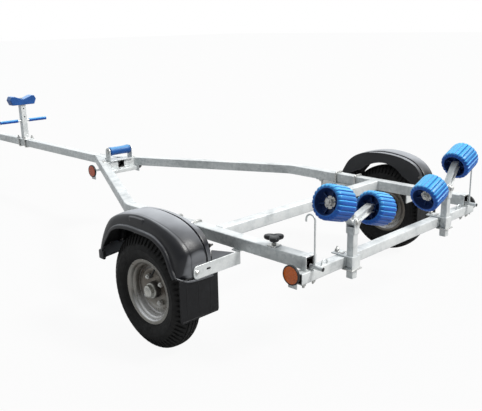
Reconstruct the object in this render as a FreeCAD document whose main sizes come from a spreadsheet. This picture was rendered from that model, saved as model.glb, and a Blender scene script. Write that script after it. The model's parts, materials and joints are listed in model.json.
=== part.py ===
import FreeCAD, Part
import Sketcher
import math
import os

# Boat trailer with a bolted galvanised frame, two wheels, mudguards, four hull rollers on
# rocking heads, a keel roller, a bow post with its snubber, and a jockey wheel.
# Axes: +X forward to the coupling, +Y to the trailer's left, +Z up. The floor is Z = 0.

os.makedirs("parts", exist_ok=True)
doc = FreeCAD.newDocument("boat_trailer")
sheet = doc.addObject("Spreadsheet::Sheet", "Sizes")


class Dim:
    """A size that knows its value and the sheet formula it comes from."""

    def __init__(self, value, formula):
        self.value = value
        self.formula = formula

    @staticmethod
    def of(other):
        return other if isinstance(other, Dim) else Dim(float(other), "%.6g" % other)

    def join(self, sign, other, value):
        return Dim(value, "(%s %s %s)" % (self.formula, sign, Dim.of(other).formula))

    def __add__(self, other):
        return self.join("+", other, self.value + Dim.of(other).value)

    def __sub__(self, other):
        return self.join("-", other, self.value - Dim.of(other).value)

    def __mul__(self, other):
        return self.join("*", other, self.value * Dim.of(other).value)

    def __truediv__(self, other):
        return self.join("/", other, self.value / Dim.of(other).value)

    def __radd__(self, other):
        return Dim.of(other) + self

    def __rsub__(self, other):
        return Dim.of(other) - self

    def __rmul__(self, other):
        return Dim.of(other) * self

    def __neg__(self):
        return Dim.of(-1) * self


def sine(angle):
    """Sine of an angle in degrees."""
    return Dim(math.sin(math.radians(angle.value)), "sin(%s)" % angle.formula)


def cosine(angle):
    """Cosine of an angle in degrees."""
    return Dim(math.cos(math.radians(angle.value)), "cos(%s)" % angle.formula)


def tangent(angle):
    """Tangent of an angle in degrees."""
    return Dim(math.tan(math.radians(angle.value)), "tan(%s)" % angle.formula)


def arc_sine(ratio):
    """Angle in degrees whose sine is the ratio."""
    return Dim(math.degrees(math.asin(ratio.value)), "asin(%s)" % ratio.formula)


def arc_cosine(ratio):
    """Angle in degrees whose cosine is the ratio."""
    return Dim(math.degrees(math.acos(ratio.value)), "acos(%s)" % ratio.formula)


def root(square):
    """Square root of a size."""
    return Dim(math.sqrt(square.value), "sqrt(%s)" % square.formula)


# Driving dimensions: name, value in mm (or degrees), meaning. X places count from the axle.
TABLE = [
    ("axle_x", -1550.8, "X of the wheel axle"),
    ("rail_size", 50, "side of the rail and drawbar box tube"),
    ("wall", 3, "wall of the box tube"),
    ("frame_rise", 212, "wheel axle up to the frame's top"),
    ("frame_half", 596, "centre line to a rail's outer face"),
    ("rail_rear", -580, "rear end of the rails"),
    ("bend", 508, "outer corner of the rails' bend"),
    ("bend_angle", 26.5, "angle of the rails' front part"),
    ("nose_half", 96, "centre line to a rail's inner face at the drawbar's rear end"),
    ("drawbar_long", 2231, "length of the drawbar"),
    ("cross_rear", -108, "rear face of the cross member"),
    ("beam_size", 42, "side of the rear crossbeam"),
    ("beam_ahead", 6.5, "rails' rear end to the rear crossbeam's middle"),
    ("beam_past", 34, "rear crossbeam's end beyond a rail's outer face"),
    ("wheel_out", 224, "rail's outer face to a wheel's middle"),
    ("tyre_radius", 238, "outer radius of the tyre"),
    ("tyre_half", 63, "half width of the tyre"),
    ("rim_radius", 133, "outer radius of the rim's flange"),
    ("rim_half", 43, "half width over the rim's flanges"),
    ("seat_radius", 121, "radius of the rim's bead seat"),
    ("disc_y", 2, "wheel's middle to the rim disc's outer face"),
    ("stub_radius", 12.5, "radius of the stub axle"),
    ("running", 0.05, "radial clearance of a running fit"),
    ("pivot_ahead", 98.5, "torsion tube ahead of the wheel axle"),
    ("torsion_size", 50, "side of the torsion tube"),
    ("plate", 6, "thickness of the thick plates"),
    ("guard_inset", 70, "wheel's middle to a mudguard's inboard edge"),
    ("guard_lip", 84, "wheel's middle to a mudguard's outboard edge"),
    ("guard_gap", 78, "tread to the inside of a mudguard's inboard edge"),
    ("guard_skin", 4, "thickness of a mudguard"),
    ("guard_below", 50, "front end of a mudguard below the frame"),
    ("flap_gap", 5, "tread to the mud flap"),
    ("flap_low", 187, "height of the mud flap's lower edge"),
    ("bow_post_back", 998, "drawbar's front end to the bow post's middle"),
    ("bow_post_size", 40, "side of the bow post"),
    ("bow_post_tall", 253, "height of the bow post above the drawbar"),
    ("keel_ahead", 16, "drawbar's rear end to the keel roller's axis"),
    ("keel_above", 58, "keel roller's axis above the frame"),
    ("keel_half", 72, "half length of the keel roller"),
    ("left_post_y", 361, "centre line to the left roller post"),
    ("right_post_y", 326, "centre line to the right roller post"),
    ("post_size", 30, "side of a roller post"),
    ("pivot_above", 87, "head pivot above the frame's top"),
    ("head_rise", 58, "roller axis above the head's pivot"),
    ("roller_gap", 81, "head's middle to a roller's inner end"),
    ("roller_long", 106, "length of a hull roller"),
    ("roller_radius", 65.5, "radius of a hull roller"),
    ("hollow_in", 35, "depth of a hull roller's inboard hollow"),
    ("hollow_out", 30, "depth of a hull roller's outboard hollow"),
    ("left_tilt", 16, "tilt of the left head, outer end high"),
    ("right_tilt", 22, "tilt of the right head, outer end high"),
    ("jockey_gap", 10, "coupling's rear end to the jockey wheel's clamp"),
    ("jockey_y", 60, "centre line to the jockey wheel's tube"),
    ("jockey_radius", 100, "radius of the jockey wheel"),
    ("ball_ahead", 110, "drawbar's front end to the ball socket's middle"),
    ("ball_radius", 25.5, "radius of the coupling's ball socket"),
]
D = {}
for row, (alias, value, meaning) in enumerate(TABLE, start=1):
    sheet.set("A%d" % row, meaning)
    sheet.set("B%d" % row, "%g" % value)
    sheet.setAlias("B%d" % row, alias)
    D[alias] = Dim(float(value), "Sizes." + alias)
doc.recompute()

AXLE = D["axle_x"]
SIZE = D["rail_size"]
WALL = D["wall"]
HUB_Z = D["tyre_radius"]
TOP = HUB_Z + D["frame_rise"]
LOW = TOP - SIZE
INNER_CORNER = D["bend"] - SIZE * tangent(D["bend_angle"] / 2)
NOSE = INNER_CORNER + (D["frame_half"] - SIZE - D["nose_half"]) / tangent(D["bend_angle"])
FRONT = NOSE + D["drawbar_long"]
BEAM_X = D["rail_rear"] + D["beam_ahead"]
BEAM_END = D["frame_half"] + D["beam_past"]
WHEEL_Y = D["frame_half"] + D["wheel_out"]
SIDES = (("left", 1), ("right", -1))
PARTS = []


# ---------------------------------------------------------------- helpers

def bind(thing, prop, size):
    """Set a property and, for a sheet size, the formula that drives it."""
    if isinstance(size, Dim):
        thing.setExpression(prop, size.formula)
        return size.value
    return size


def place(thing, x, y, z, axis=None, angle=0):
    """Put an object at a point, turned about an axis."""
    turn = FreeCAD.Rotation(FreeCAD.Vector(*(axis or (0, 0, 1))), Dim.of(angle).value)
    spot = FreeCAD.Vector(Dim.of(x).value, Dim.of(y).value, Dim.of(z).value)
    thing.Placement = FreeCAD.Placement(spot, turn)
    for name, size in (("x", x), ("y", y), ("z", z)):
        if isinstance(size, Dim):
            thing.setExpression("Placement.Base." + name, size.formula)
    if isinstance(angle, Dim):
        thing.setExpression("Placement.Rotation.Angle", angle.formula)
    return thing


def box(name, low, high):
    """A box between two corners."""
    thing = doc.addObject("Part::Box", name)
    for prop, a, b in zip(("Length", "Width", "Height"), low, high):
        setattr(thing, prop, Dim.of(b - a).value)
        bind(thing, prop, b - a)
    return place(thing, *low)


def rod(name, radius, length, at, axis="z"):
    """A cylinder that starts at a point and runs along +X, +Y or +Z."""
    thing = doc.addObject("Part::Cylinder", name)
    thing.Radius = Dim.of(radius).value
    thing.Height = Dim.of(length).value
    bind(thing, "Radius", radius)
    bind(thing, "Height", length)
    turns = {"x": ((0, 1, 0), 90), "y": ((1, 0, 0), -90), "z": ((0, 0, 1), 0)}
    turn, angle = turns[axis]
    return place(thing, *at, turn, angle)


def ball(name, radius, at):
    """A sphere about a point."""
    thing = doc.addObject("Part::Sphere", name)
    thing.Radius = Dim.of(radius).value
    bind(thing, "Radius", radius)
    return place(thing, *at)


def half_ring(name, radius, thick, at, axis, angle):
    """Half a ring of round rod in the turned XY plane."""
    thing = doc.addObject("Part::Torus", name)
    thing.Radius1 = radius
    thing.Radius2 = thick
    thing.Angle3 = 180
    return place(thing, *at, axis, angle)


def fuse(name, pieces):
    thing = doc.addObject("Part::MultiFuse", name)
    thing.Shapes = pieces
    return thing


def cut(name, base, tool):
    thing = doc.addObject("Part::Cut", name)
    thing.Base = base
    thing.Tool = tool
    return thing


def together(name, pieces):
    """Pieces that share a node without touching."""
    thing = doc.addObject("Part::Compound", name)
    thing.Links = pieces
    return thing


def part(label, thing):
    """Name a finished sub-part and list it for writing."""
    thing.Label = label
    PARTS.append(thing)
    return thing


def new_body(name):
    return doc.addObject("PartDesign::Body", name)


def sketch(body, name, plane, offset=0):
    """A sketch on one of the body's own origin planes, lifted by an offset."""
    made = body.newObject("Sketcher::SketchObject", name)
    face = [item for item in body.Origin.OriginFeatures if item.Role == plane][0]
    made.AttachmentSupport = [(face, "")]
    made.MapMode = "FlatFace"
    lift = FreeCAD.Vector(0, 0, Dim.of(offset).value)
    made.AttachmentOffset = FreeCAD.Placement(lift, FreeCAD.Rotation())
    if isinstance(offset, Dim):
        made.setExpression("AttachmentOffset.Base.z", offset.formula)
    return made


def fix_point(made, item, end, x, y):
    """Hold a sketch point at x, y from the sketch's origin."""
    for kind, size in (("DistanceX", x), ("DistanceY", y)):
        value = Dim.of(size).value
        index = made.addConstraint(Sketcher.Constraint(kind, -1, 1, item, end, value))
        if isinstance(size, Dim):
            made.setExpression("Constraints[%d]" % index, size.formula)


def outline(made, points):
    """A closed outline of straight lines through the points."""
    flat = [FreeCAD.Vector(Dim.of(x).value, Dim.of(y).value, 0) for x, y in points]
    count = len(points)
    first = made.GeometryCount
    for i in range(count):
        made.addGeometry(Part.LineSegment(flat[i], flat[(i + 1) % count]), False)
    for i in range(count):
        after = first + (i + 1) % count
        made.addConstraint(Sketcher.Constraint("Coincident", first + i, 2, after, 1))
    for i, (x, y) in enumerate(points):
        fix_point(made, first + i, 1, x, y)


def circle(made, x, y, radius):
    """A circle in a sketch."""
    centre = FreeCAD.Vector(Dim.of(x).value, Dim.of(y).value, 0)
    value = Dim.of(radius).value
    item = made.addGeometry(Part.Circle(centre, FreeCAD.Vector(0, 0, 1), value), False)
    index = made.addConstraint(Sketcher.Constraint("Radius", item, value))
    if isinstance(radius, Dim):
        made.setExpression("Constraints[%d]" % index, radius.formula)
    fix_point(made, item, 3, x, y)


def pad(body, made, length, midplane=False):
    """Raise a sketch into a solid."""
    thing = body.newObject("PartDesign::Pad", made.Name + "_pad")
    thing.Profile = made
    thing.Length = Dim.of(length).value
    bind(thing, "Length", length)
    thing.Midplane = midplane
    made.Visibility = False
    return thing


def pocket(body, made, length, reverse=False, midplane=False):
    """Cut a sketch out of the solid."""
    thing = body.newObject("PartDesign::Pocket", made.Name + "_pocket")
    thing.Profile = made
    thing.Length = Dim.of(length).value
    bind(thing, "Length", length)
    thing.Reversed = reverse
    thing.Midplane = midplane
    made.Visibility = False
    return thing


def turned(name, points):
    """A body turned about its own Y axis; points are (along Y, radius)."""
    body = new_body(name)
    made = sketch(body, name + "_outline", "YZ_Plane")
    outline(made, points)
    spin = body.newObject("PartDesign::Revolution", name + "_spin")
    spin.Profile = made
    spin.ReferenceAxis = (made, ["H_Axis"])
    spin.Angle = 360
    return body


def box_tube(name, low, high, along):
    """A square tube between two corners, open along X, Y or Z."""
    inner_low = list(low)
    inner_high = list(high)
    for k in range(3):
        if "xyz"[k] == along:
            inner_low[k] = low[k] - 1
            inner_high[k] = high[k] + 1
        else:
            inner_low[k] = low[k] + WALL
            inner_high[k] = high[k] - WALL
    outer = box(name + "_outer", low, high)
    inner = box(name + "_inner", inner_low, inner_high)
    return cut(name, outer, inner)


def across(side, low, high):
    """A Y range on the given side, low end first."""
    return (low, high) if side > 0 else (-high, -low)


# ---------------------------------------------------------------- frame

def rail_plan(side, inset, spare):
    """Plan outline of a bent rail, inset from its walls, its ends run past by a spare length."""
    outer = D["frame_half"] - inset
    inner = D["frame_half"] - SIZE + inset
    half_turn = tangent(D["bend_angle"] / 2)
    corner_out = AXLE + D["bend"] - inset * half_turn
    corner_in = AXLE + INNER_CORNER + inset * half_turn
    stop = SIZE / 2 - spare
    slope = tangent(D["bend_angle"])
    rear = AXLE + D["rail_rear"] - spare
    return [
        (rear, outer * side),
        (corner_out, outer * side),
        (corner_out + (outer - stop) / slope, stop * side),
        (corner_in + (inner - stop) / slope, stop * side),
        (corner_in, inner * side),
        (rear, inner * side),
    ]


def side_rail(name, side):
    body = new_body(name + "_side_rail")
    plan = sketch(body, name + "_rail_plan", "XY_Plane", LOW)
    outline(plan, rail_plan(side, 0, 0))
    pad(body, plan, SIZE)
    hollow = sketch(body, name + "_rail_hollow", "XY_Plane", LOW + WALL)
    outline(hollow, rail_plan(side, WALL, 2))
    pocket(body, hollow, SIZE - 2 * WALL, reverse=True)
    return part(name + "_side_rail", body)


def straight_members():
    half = SIZE / 2
    part("drawbar", box_tube("drawbar", (AXLE + NOSE, -half, LOW), (AXLE + FRONT, half, TOP), "x"))
    reach = D["frame_half"] - SIZE
    rear = AXLE + D["cross_rear"]
    front = rear + SIZE
    part("cross_member", box_tube("cross_member", (rear, -reach, LOW), (front, reach, TOP), "y"))
    beam = D["beam_size"]
    rear = AXLE + BEAM_X - beam / 2
    front = rear + beam
    tube = box_tube("rear_crossbeam", (rear, -BEAM_END, LOW - beam), (front, BEAM_END, LOW), "y")
    part("rear_crossbeam", tube)


CAP = 5            # thickness of an end cap
ARM_Y = D["frame_half"] - 28    # centre line to a light board arm
ARM_RADIUS = 8
ARM_ABOVE = 12     # arm's axis above the rail's bottom
ARM_SLACK = 0.6    # radial clearance of a light board arm in its cap


def end_caps():
    """Plastic caps inside the open ends of the tubes."""
    half = SIZE / 2 - WALL
    rear = AXLE + NOSE
    caps = [box("drawbar_cap", (rear, -half, LOW + WALL), (rear + CAP, half, TOP - WALL))]
    beam = D["beam_size"]
    middle = AXLE + BEAM_X
    for name, side in SIDES:
        back = AXLE + D["rail_rear"]
        low_y, high_y = across(side, D["frame_half"] - SIZE + WALL, D["frame_half"] - WALL)
        plain = box(name + "_rail_cap_plain", (back, low_y, LOW + WALL), (back + CAP, high_y, TOP - WALL))
        hole = rod(name + "_rail_cap_hole", ARM_RADIUS + ARM_SLACK, 3 * CAP,
                   (back - CAP, ARM_Y * side, LOW + ARM_ABOVE), "x")
        caps.append(cut(name + "_rail_cap", plain, hole))
        inside = beam / 2 - WALL
        low_y, high_y = across(side, BEAM_END - CAP, BEAM_END)
        caps.append(box(name + "_beam_cap", (middle - inside, low_y, LOW - beam + WALL),
                        (middle + inside, high_y, LOW - WALL)))
    part("frame_end_caps", together("frame_end_caps", caps))


STRAP = 4          # thickness of the straps over the rails
STRAP_WIDE = 26


def rail_straps():
    """Folded straps that hold the rails down on the rear crossbeam."""
    straps = []
    middle = AXLE + BEAM_X
    for name, side in SIDES:
        body = new_body(name + "_rail_strap")
        face = sketch(body, name + "_strap_face", "YZ_Plane", middle - STRAP_WIDE / 2)
        near = D["frame_half"]
        far = D["frame_half"] - SIZE
        outline(face, [
            (near * side, LOW), ((near + STRAP) * side, LOW),
            ((near + STRAP) * side, TOP + STRAP), ((far - STRAP) * side, TOP + STRAP),
            ((far - STRAP) * side, LOW), (far * side, LOW), (far * side, TOP), (near * side, TOP),
        ])
        pad(body, face, STRAP_WIDE)
        straps.append(body)
    part("rail_straps", together("rail_straps", straps))


BOLT = 5           # radius of a U-bolt's rod
BOLT_GAP = 0.2     # U-bolt's leg to the tube it clasps


def u_bolt(name, x, y_low, y_high, z_foot, z_bridge):
    """A square U-bolt across Y; its legs stand on z_foot and its bridge is at z_bridge."""
    upward = Dim.of(z_bridge).value > Dim.of(z_foot).value
    base = z_foot if upward else z_bridge
    tall = z_bridge - z_foot if upward else z_foot - z_bridge
    pieces = [
        rod(name + "_leg_a", BOLT, tall, (x, y_low, base)),
        rod(name + "_leg_b", BOLT, tall, (x, y_high, base)),
        rod(name + "_bridge", BOLT, y_high - y_low, (x, y_low, z_bridge), "y"),
        ball(name + "_corner_a", BOLT, (x, y_low, z_bridge)),
        ball(name + "_corner_b", BOLT, (x, y_high, z_bridge)),
    ]
    return fuse(name, pieces)


# ---------------------------------------------------------------- suspension and wheels

UNIT_BOLT = 62.5                        # torsion tube's middle to a U-bolt
UNIT_PLATE = 80.5                       # half length of a unit's plate
UNIT_LIP = 12                           # plate beyond the rail's faces
TORSION_IN = D["frame_half"] - 96       # inboard end of a torsion tube
TORSION_OUT = D["frame_half"] + 59      # outboard end of a torsion tube
ARM_IN = TORSION_OUT + 0.3              # inboard face of a suspension arm
ARM_THICK = 28
ARM_EYE = 26                            # radius of an arm's end at the stub axle
ARM_WEB = 24                            # half depth of an arm
ARM_OUT = ARM_IN + ARM_THICK
DISC = 4                                # thickness of a rim's disc
RIM_SKIN = 3                            # thickness of a rim's barrel
HUB_BORE = 33                           # radius of the hole in a rim's disc
HUB_RADIUS = 34                         # radius of a hub's barrel
HUB_FLANGE = 64                         # radius of a hub's flange
HUB_CAP = 27                            # radius of a hub's dust cap
HUB_PAST = 40                           # dust cap's end beyond the disc


def suspension(name, side):
    """Torsion tube and its plate under the rail, then the trailing arm with the stub axle."""
    square = D["torsion_size"]
    tube_x = AXLE + D["pivot_ahead"]
    top = LOW - D["plate"]
    low_y, high_y = across(side, D["frame_half"] - SIZE - UNIT_LIP, D["frame_half"] + UNIT_LIP)
    plate = box(name + "_unit_plate", (tube_x - UNIT_PLATE, low_y, top), (tube_x + UNIT_PLATE, high_y, LOW))
    low_y, high_y = across(side, TORSION_IN, TORSION_OUT)
    tube = box(name + "_torsion_tube", (tube_x - square / 2, low_y, top - square),
               (tube_x + square / 2, high_y, top))
    part(name + "_suspension_unit", fuse(name + "_suspension_unit", [plate, tube]))

    drop = top - square / 2 - HUB_Z
    low_y, high_y = across(side, ARM_IN, ARM_OUT)
    big_end = rod(name + "_arm_big_end", square / 2, ARM_THICK, (tube_x, low_y, HUB_Z + drop), "y")
    small_end = rod(name + "_arm_small_end", ARM_EYE, ARM_THICK, (AXLE, low_y, HUB_Z), "y")
    body = new_body(name + "_arm_web")
    web = sketch(body, name + "_arm_web_face", "XZ_Plane")
    angle = Dim(math.degrees(math.atan2(drop.value, D["pivot_ahead"].value)),
                "atan2(%s; %s)" % (drop.formula, D["pivot_ahead"].formula))
    across_x = ARM_WEB * sine(angle)
    across_z = ARM_WEB * cosine(angle)
    outline(web, [
        (AXLE - across_x, HUB_Z + across_z), (AXLE + across_x, HUB_Z - across_z),
        (tube_x + across_x, HUB_Z + drop - across_z), (tube_x - across_x, HUB_Z + drop + across_z),
    ])
    pad(body, web, ARM_THICK)
    place(body, 0, high_y, 0)
    low_y, high_y = across(side, ARM_OUT - 1, WHEEL_Y + D["disc_y"] - DISC)
    stub = rod(name + "_stub_axle", D["stub_radius"], high_y - low_y, (AXLE, low_y, HUB_Z), "y")
    part(name + "_suspension_arm", fuse(name + "_suspension_arm", [big_end, small_end, body, stub]))


def suspension_u_bolts():
    bolts = []
    for name, side in SIDES:
        clear = BOLT + BOLT_GAP
        low_y, high_y = across(side, D["frame_half"] - SIZE - clear, D["frame_half"] + clear)
        for number, ahead in enumerate((-UNIT_BOLT, UNIT_BOLT), start=1):
            bolts.append(u_bolt("%s_unit_bolt_%d" % (name, number), AXLE + D["pivot_ahead"] + ahead,
                                low_y, high_y, LOW, TOP + BOLT))
    part("suspension_u_bolts", together("suspension_u_bolts", bolts))


def wheel(name, side):
    """Tyre, rim and hub, turned about the axle; outboard is +Y times side."""
    half = D["tyre_half"]
    outer = D["tyre_radius"]
    seat = D["seat_radius"]
    rim = D["rim_half"]
    lip = D["rim_radius"]
    skin = RIM_SKIN

    def mirrored(points):
        return [(y * side, radius) for y, radius in points]

    tyre = turned(name + "_tyre", mirrored([
        (-rim + skin, seat), (-rim + skin, lip + 3), (-half + 8, lip + 22), (-half, outer - 52),
        (-half + 13, outer - 29), (-half + 26, outer - 9), (-half + 34, outer),
        (half - 34, outer), (half - 26, outer - 9), (half - 13, outer - 29), (half, outer - 52),
        (half - 8, lip + 22), (rim - skin, lip + 3), (rim - skin, seat),
    ]))
    place(tyre, AXLE, WHEEL_Y * side, HUB_Z)
    part(name + "_tyre", tyre)

    face = D["disc_y"]
    back = face - DISC
    hole = Dim.of(HUB_BORE)
    wheel_rim = turned(name + "_wheel_rim", mirrored([
        (-rim, seat - skin), (-rim, lip), (-rim + skin, lip), (-rim + skin, seat),
        (rim - skin, seat), (rim - skin, lip), (rim, lip), (rim, seat - skin),
        (face + 14, seat - skin), (face + 14, seat - 23), (face + 4, seat - 37), (face, seat - 49),
        (face, hole), (back, hole), (back, seat - 48), (face, seat - 35), (face + 10, seat - 21),
        (face + 10, seat - skin),
    ]))
    place(wheel_rim, AXLE, WHEEL_Y * side, HUB_Z)
    part(name + "_wheel_rim", wheel_rim)

    bore = D["stub_radius"] + D["running"]
    inboard = ARM_OUT + 3 - WHEEL_Y
    end = face + HUB_PAST
    hub = turned(name + "_hub", mirrored([
        (inboard, bore), (inboard, HUB_RADIUS), (back - 38, HUB_RADIUS), (back - 10, HUB_RADIUS + 6),
        (back - 10, HUB_FLANGE), (back, HUB_FLANGE), (back, hole - 1), (face + 2, hole - 1),
        (face + 2, HUB_CAP + 2), (end - 8, HUB_CAP), (end - 2, HUB_CAP - 5), (end, 0),
        (face + 1, 0), (face + 1, bore),
    ]))
    place(hub, AXLE, WHEEL_Y * side, HUB_Z)
    part(name + "_hub", hub)


# ---------------------------------------------------------------- mudguards

GUARD_RADIUS = D["tyre_radius"] + D["guard_gap"]    # inside radius of a guard's inboard edge
GUARD_INNER = WHEEL_Y - D["guard_inset"]
GUARD_LIP = WHEEL_Y + D["guard_lip"]
FLAP_BACK = D["tyre_radius"] + D["flap_gap"] + D["guard_skin"]      # axle to the flap's rear face
FLAP_HALF = 6                                       # flap's outer edge inside the guard's lip
BRACE_TALL = 50                                     # height of a mudguard brace
BRACE_THICK = 5
BRACE_PAST = 12                                     # rear brace's end beyond the wheel's middle
BRACE_SEAT = 20                                     # front brace's seat on the guard below the frame


def mudguard(name, side):
    """Arched guard turned part way about the axle, with a flat flap behind the tyre."""
    radius = GUARD_RADIUS
    skin = D["guard_skin"]
    inner = GUARD_INNER
    lip = GUARD_LIP
    ahead = arc_cosine((LOW - D["guard_below"] - HUB_Z) / radius)
    behind = arc_sine((FLAP_BACK - 3) / radius)
    body = new_body(name + "_mudguard")
    made = sketch(body, name + "_guard_section", "YZ_Plane")
    section = [
        (inner, radius), (inner, radius + skin), (inner + 26, radius + skin + 3),
        (inner + 38, radius + skin + 9), (lip - 45, radius + skin + 8),
        (lip - 16, radius + skin - 10), (lip, radius - 42), (lip - skin - 0.2, radius - 42),
        (lip - skin - 16, radius - 10), (lip - 46, radius + 8), (inner + 39, radius + 9),
        (inner + 27, radius + 3),
    ]
    outline(made, [(y * side, z) for y, z in section])
    spin = body.newObject("PartDesign::Revolution", name + "_guard_arch")
    spin.Profile = made
    spin.ReferenceAxis = (made, ["H_Axis"])
    spin.Type = "TwoAngles"
    spin.Angle = ahead.value
    spin.Angle2 = behind.value
    bind(spin, "Angle", ahead)
    bind(spin, "Angle2", behind)
    made.Visibility = False
    flap = sketch(body, name + "_flap_face", "YZ_Plane", -FLAP_BACK)
    high = radius * cosine(behind) + 3 * skin
    low = D["flap_low"] - HUB_Z
    edge = lip - FLAP_HALF
    outline(flap, [(inner * side, low), (edge * side, low), (edge * side, high), (inner * side, high)])
    pad(body, flap, skin)
    place(body, AXLE, 0, HUB_Z)
    part(name + "_mudguard", body)


def mudguard_brackets():
    """Plates that carry the mudguards from under the rails."""
    braces = []
    seat = LOW - BRACE_SEAT - HUB_Z
    front = root(GUARD_RADIUS * GUARD_RADIUS - seat * seat)
    rear = -FLAP_BACK - BRACE_THICK
    high = LOW - BRACE_THICK
    for name, side in SIDES:
        inboard = D["frame_half"] - 6
        for where, back, tip in (("rear", rear, WHEEL_Y + BRACE_PAST), ("front", front, GUARD_INNER)):
            back = AXLE + back
            low_y, high_y = across(side, inboard, tip)
            arm = box("%s_%s_brace_arm" % (name, where), (back, low_y, high - BRACE_TALL),
                      (back + BRACE_THICK, high_y, high))
            low_y, high_y = across(side, inboard - 36, inboard + 4)
            foot = box("%s_%s_brace_foot" % (name, where), (back - 20, low_y, high), (back + 25, high_y, LOW))
            braces.append(fuse("%s_%s_brace" % (name, where), [arm, foot]))
    part("mudguard_brackets", together("mudguard_brackets", braces))


# ---------------------------------------------------------------- nose of the frame

def rail_inner_at(ahead):
    """Centre line to a rail's inner face, some way ahead of the axle."""
    return D["nose_half"] - (ahead - NOSE) * tangent(D["bend_angle"])


GUSSET_LONG = 60
CLAMP_BACK = 30                     # drawbar's rear end to the clamp plate's rear edge
CLAMP_LONG = 100
CLAMP_HALF = D["nose_half"] - 2
CLAMP_LIP = 22


def nose_plates():
    """Corner gussets between drawbar and rails, and the folded plate that clamps them from below."""
    gussets = []
    back = NOSE
    for name, side in SIDES:
        body = new_body(name + "_gusset")
        plan = sketch(body, name + "_gusset_plan", "XY_Plane", LOW)
        half = SIZE / 2
        front = back + GUSSET_LONG
        skin = D["plate"]
        outline(plan, [
            (AXLE + back, half * side), (AXLE + back, rail_inner_at(back) * side),
            (AXLE + front, rail_inner_at(front) * side),
            (AXLE + front, (rail_inner_at(front) - skin) * side),
            (AXLE + back + skin, (rail_inner_at(back + skin) - skin) * side),
            (AXLE + back + skin, half * side),
        ])
        pad(body, plan, SIZE)
        gussets.append(body)
    part("nose_gussets", together("nose_gussets", gussets))

    skin = D["plate"]
    body = new_body("nose_clamp_plate")
    face = sketch(body, "clamp_plate_face", "XZ_Plane")
    rear = AXLE + back - CLAMP_BACK
    front = rear + CLAMP_LONG
    low = LOW - CLAMP_LIP
    outline(face, [
        (rear, low), (rear, LOW), (front, LOW), (front, low), (front - skin, low),
        (front - skin, LOW - skin), (rear + skin, LOW - skin), (rear + skin, low),
    ])
    pad(body, face, 2 * CLAMP_HALF, midplane=True)
    part("nose_clamp_plate", body)


CHEEK = 5          # thickness of the keel roller's cheeks
CHEEK_HALF = 28    # half the length of a cheek
CHEEK_ROUND = 24   # radius of a cheek's top
PIN = 8            # radius of the keel roller's pin
KEEL_RADIUS = 27   # radius of the keel roller
KEEL_SIDE = 4      # gap between the keel roller and a cheek


def keel_roller():
    axis_x = AXLE + NOSE + D["keel_ahead"]
    axis_z = TOP + D["keel_above"]
    inside = D["keel_half"] + KEEL_SIDE
    base = box("keel_base", (axis_x - CHEEK_HALF, -inside - CHEEK, TOP),
               (axis_x + CHEEK_HALF, inside + CHEEK, TOP + CHEEK))
    pieces = [base]
    for name, side in SIDES:
        low_y, high_y = across(side, inside, inside + CHEEK)
        pieces.append(box(name + "_cheek_plate", (axis_x - CHEEK_ROUND, low_y, TOP),
                          (axis_x + CHEEK_ROUND, high_y, axis_z)))
        pieces.append(rod(name + "_cheek_round", CHEEK_ROUND, CHEEK, (axis_x, low_y, axis_z), "y"))
    solid = fuse("keel_bracket_plain", pieces)
    hole = rod("keel_bracket_hole", PIN, 2 * inside + 6 * CHEEK, (axis_x, -inside - 3 * CHEEK, axis_z), "y")
    part("keel_roller_bracket", cut("keel_roller_bracket", solid, hole))
    part("keel_roller_pin", rod("keel_roller_pin", PIN, 2 * inside + 4 * CHEEK,
                                (axis_x, -inside - 2 * CHEEK, axis_z), "y"))
    half = D["keel_half"]
    bore = PIN + D["running"]
    big = Dim.of(KEEL_RADIUS)
    roller = turned("keel_roller", [
        (-half, bore), (-half, big - 3), (-half + 3, big), (-half + 14, big), (-half + 20, big - 2.5),
        (half - 20, big - 2.5), (half - 14, big), (half - 3, big), (half, big - 3), (half, bore),
    ])
    place(roller, axis_x, 0, axis_z)
    part("keel_roller", roller)


# ---------------------------------------------------------------- bow post

POST_TOP = TOP + D["bow_post_tall"]
BAR_Z = POST_TOP - 118          # height of the handle bar
BAR = 8                         # radius of the handle bar
GRIP = 12                       # radius of its grips
BAR_HALF = 178
GRIP_IN = 44                    # centre line to a grip's inner end
GRIP_END = 3                    # thickness of a grip's closed end
WINCH_HOLE = 5.25
WINCH_Z = POST_TOP - 58         # height between the two holes for a winch
WINCH_APART = 60
BASE_LONG = 65                  # half length of the bow post's base
BASE_WIDE = 40                  # half width of the bow post's base
BASE_BOLT = 45                  # bow post's middle to a U-bolt
BOW_X = AXLE + FRONT - D["bow_post_back"]


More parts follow.
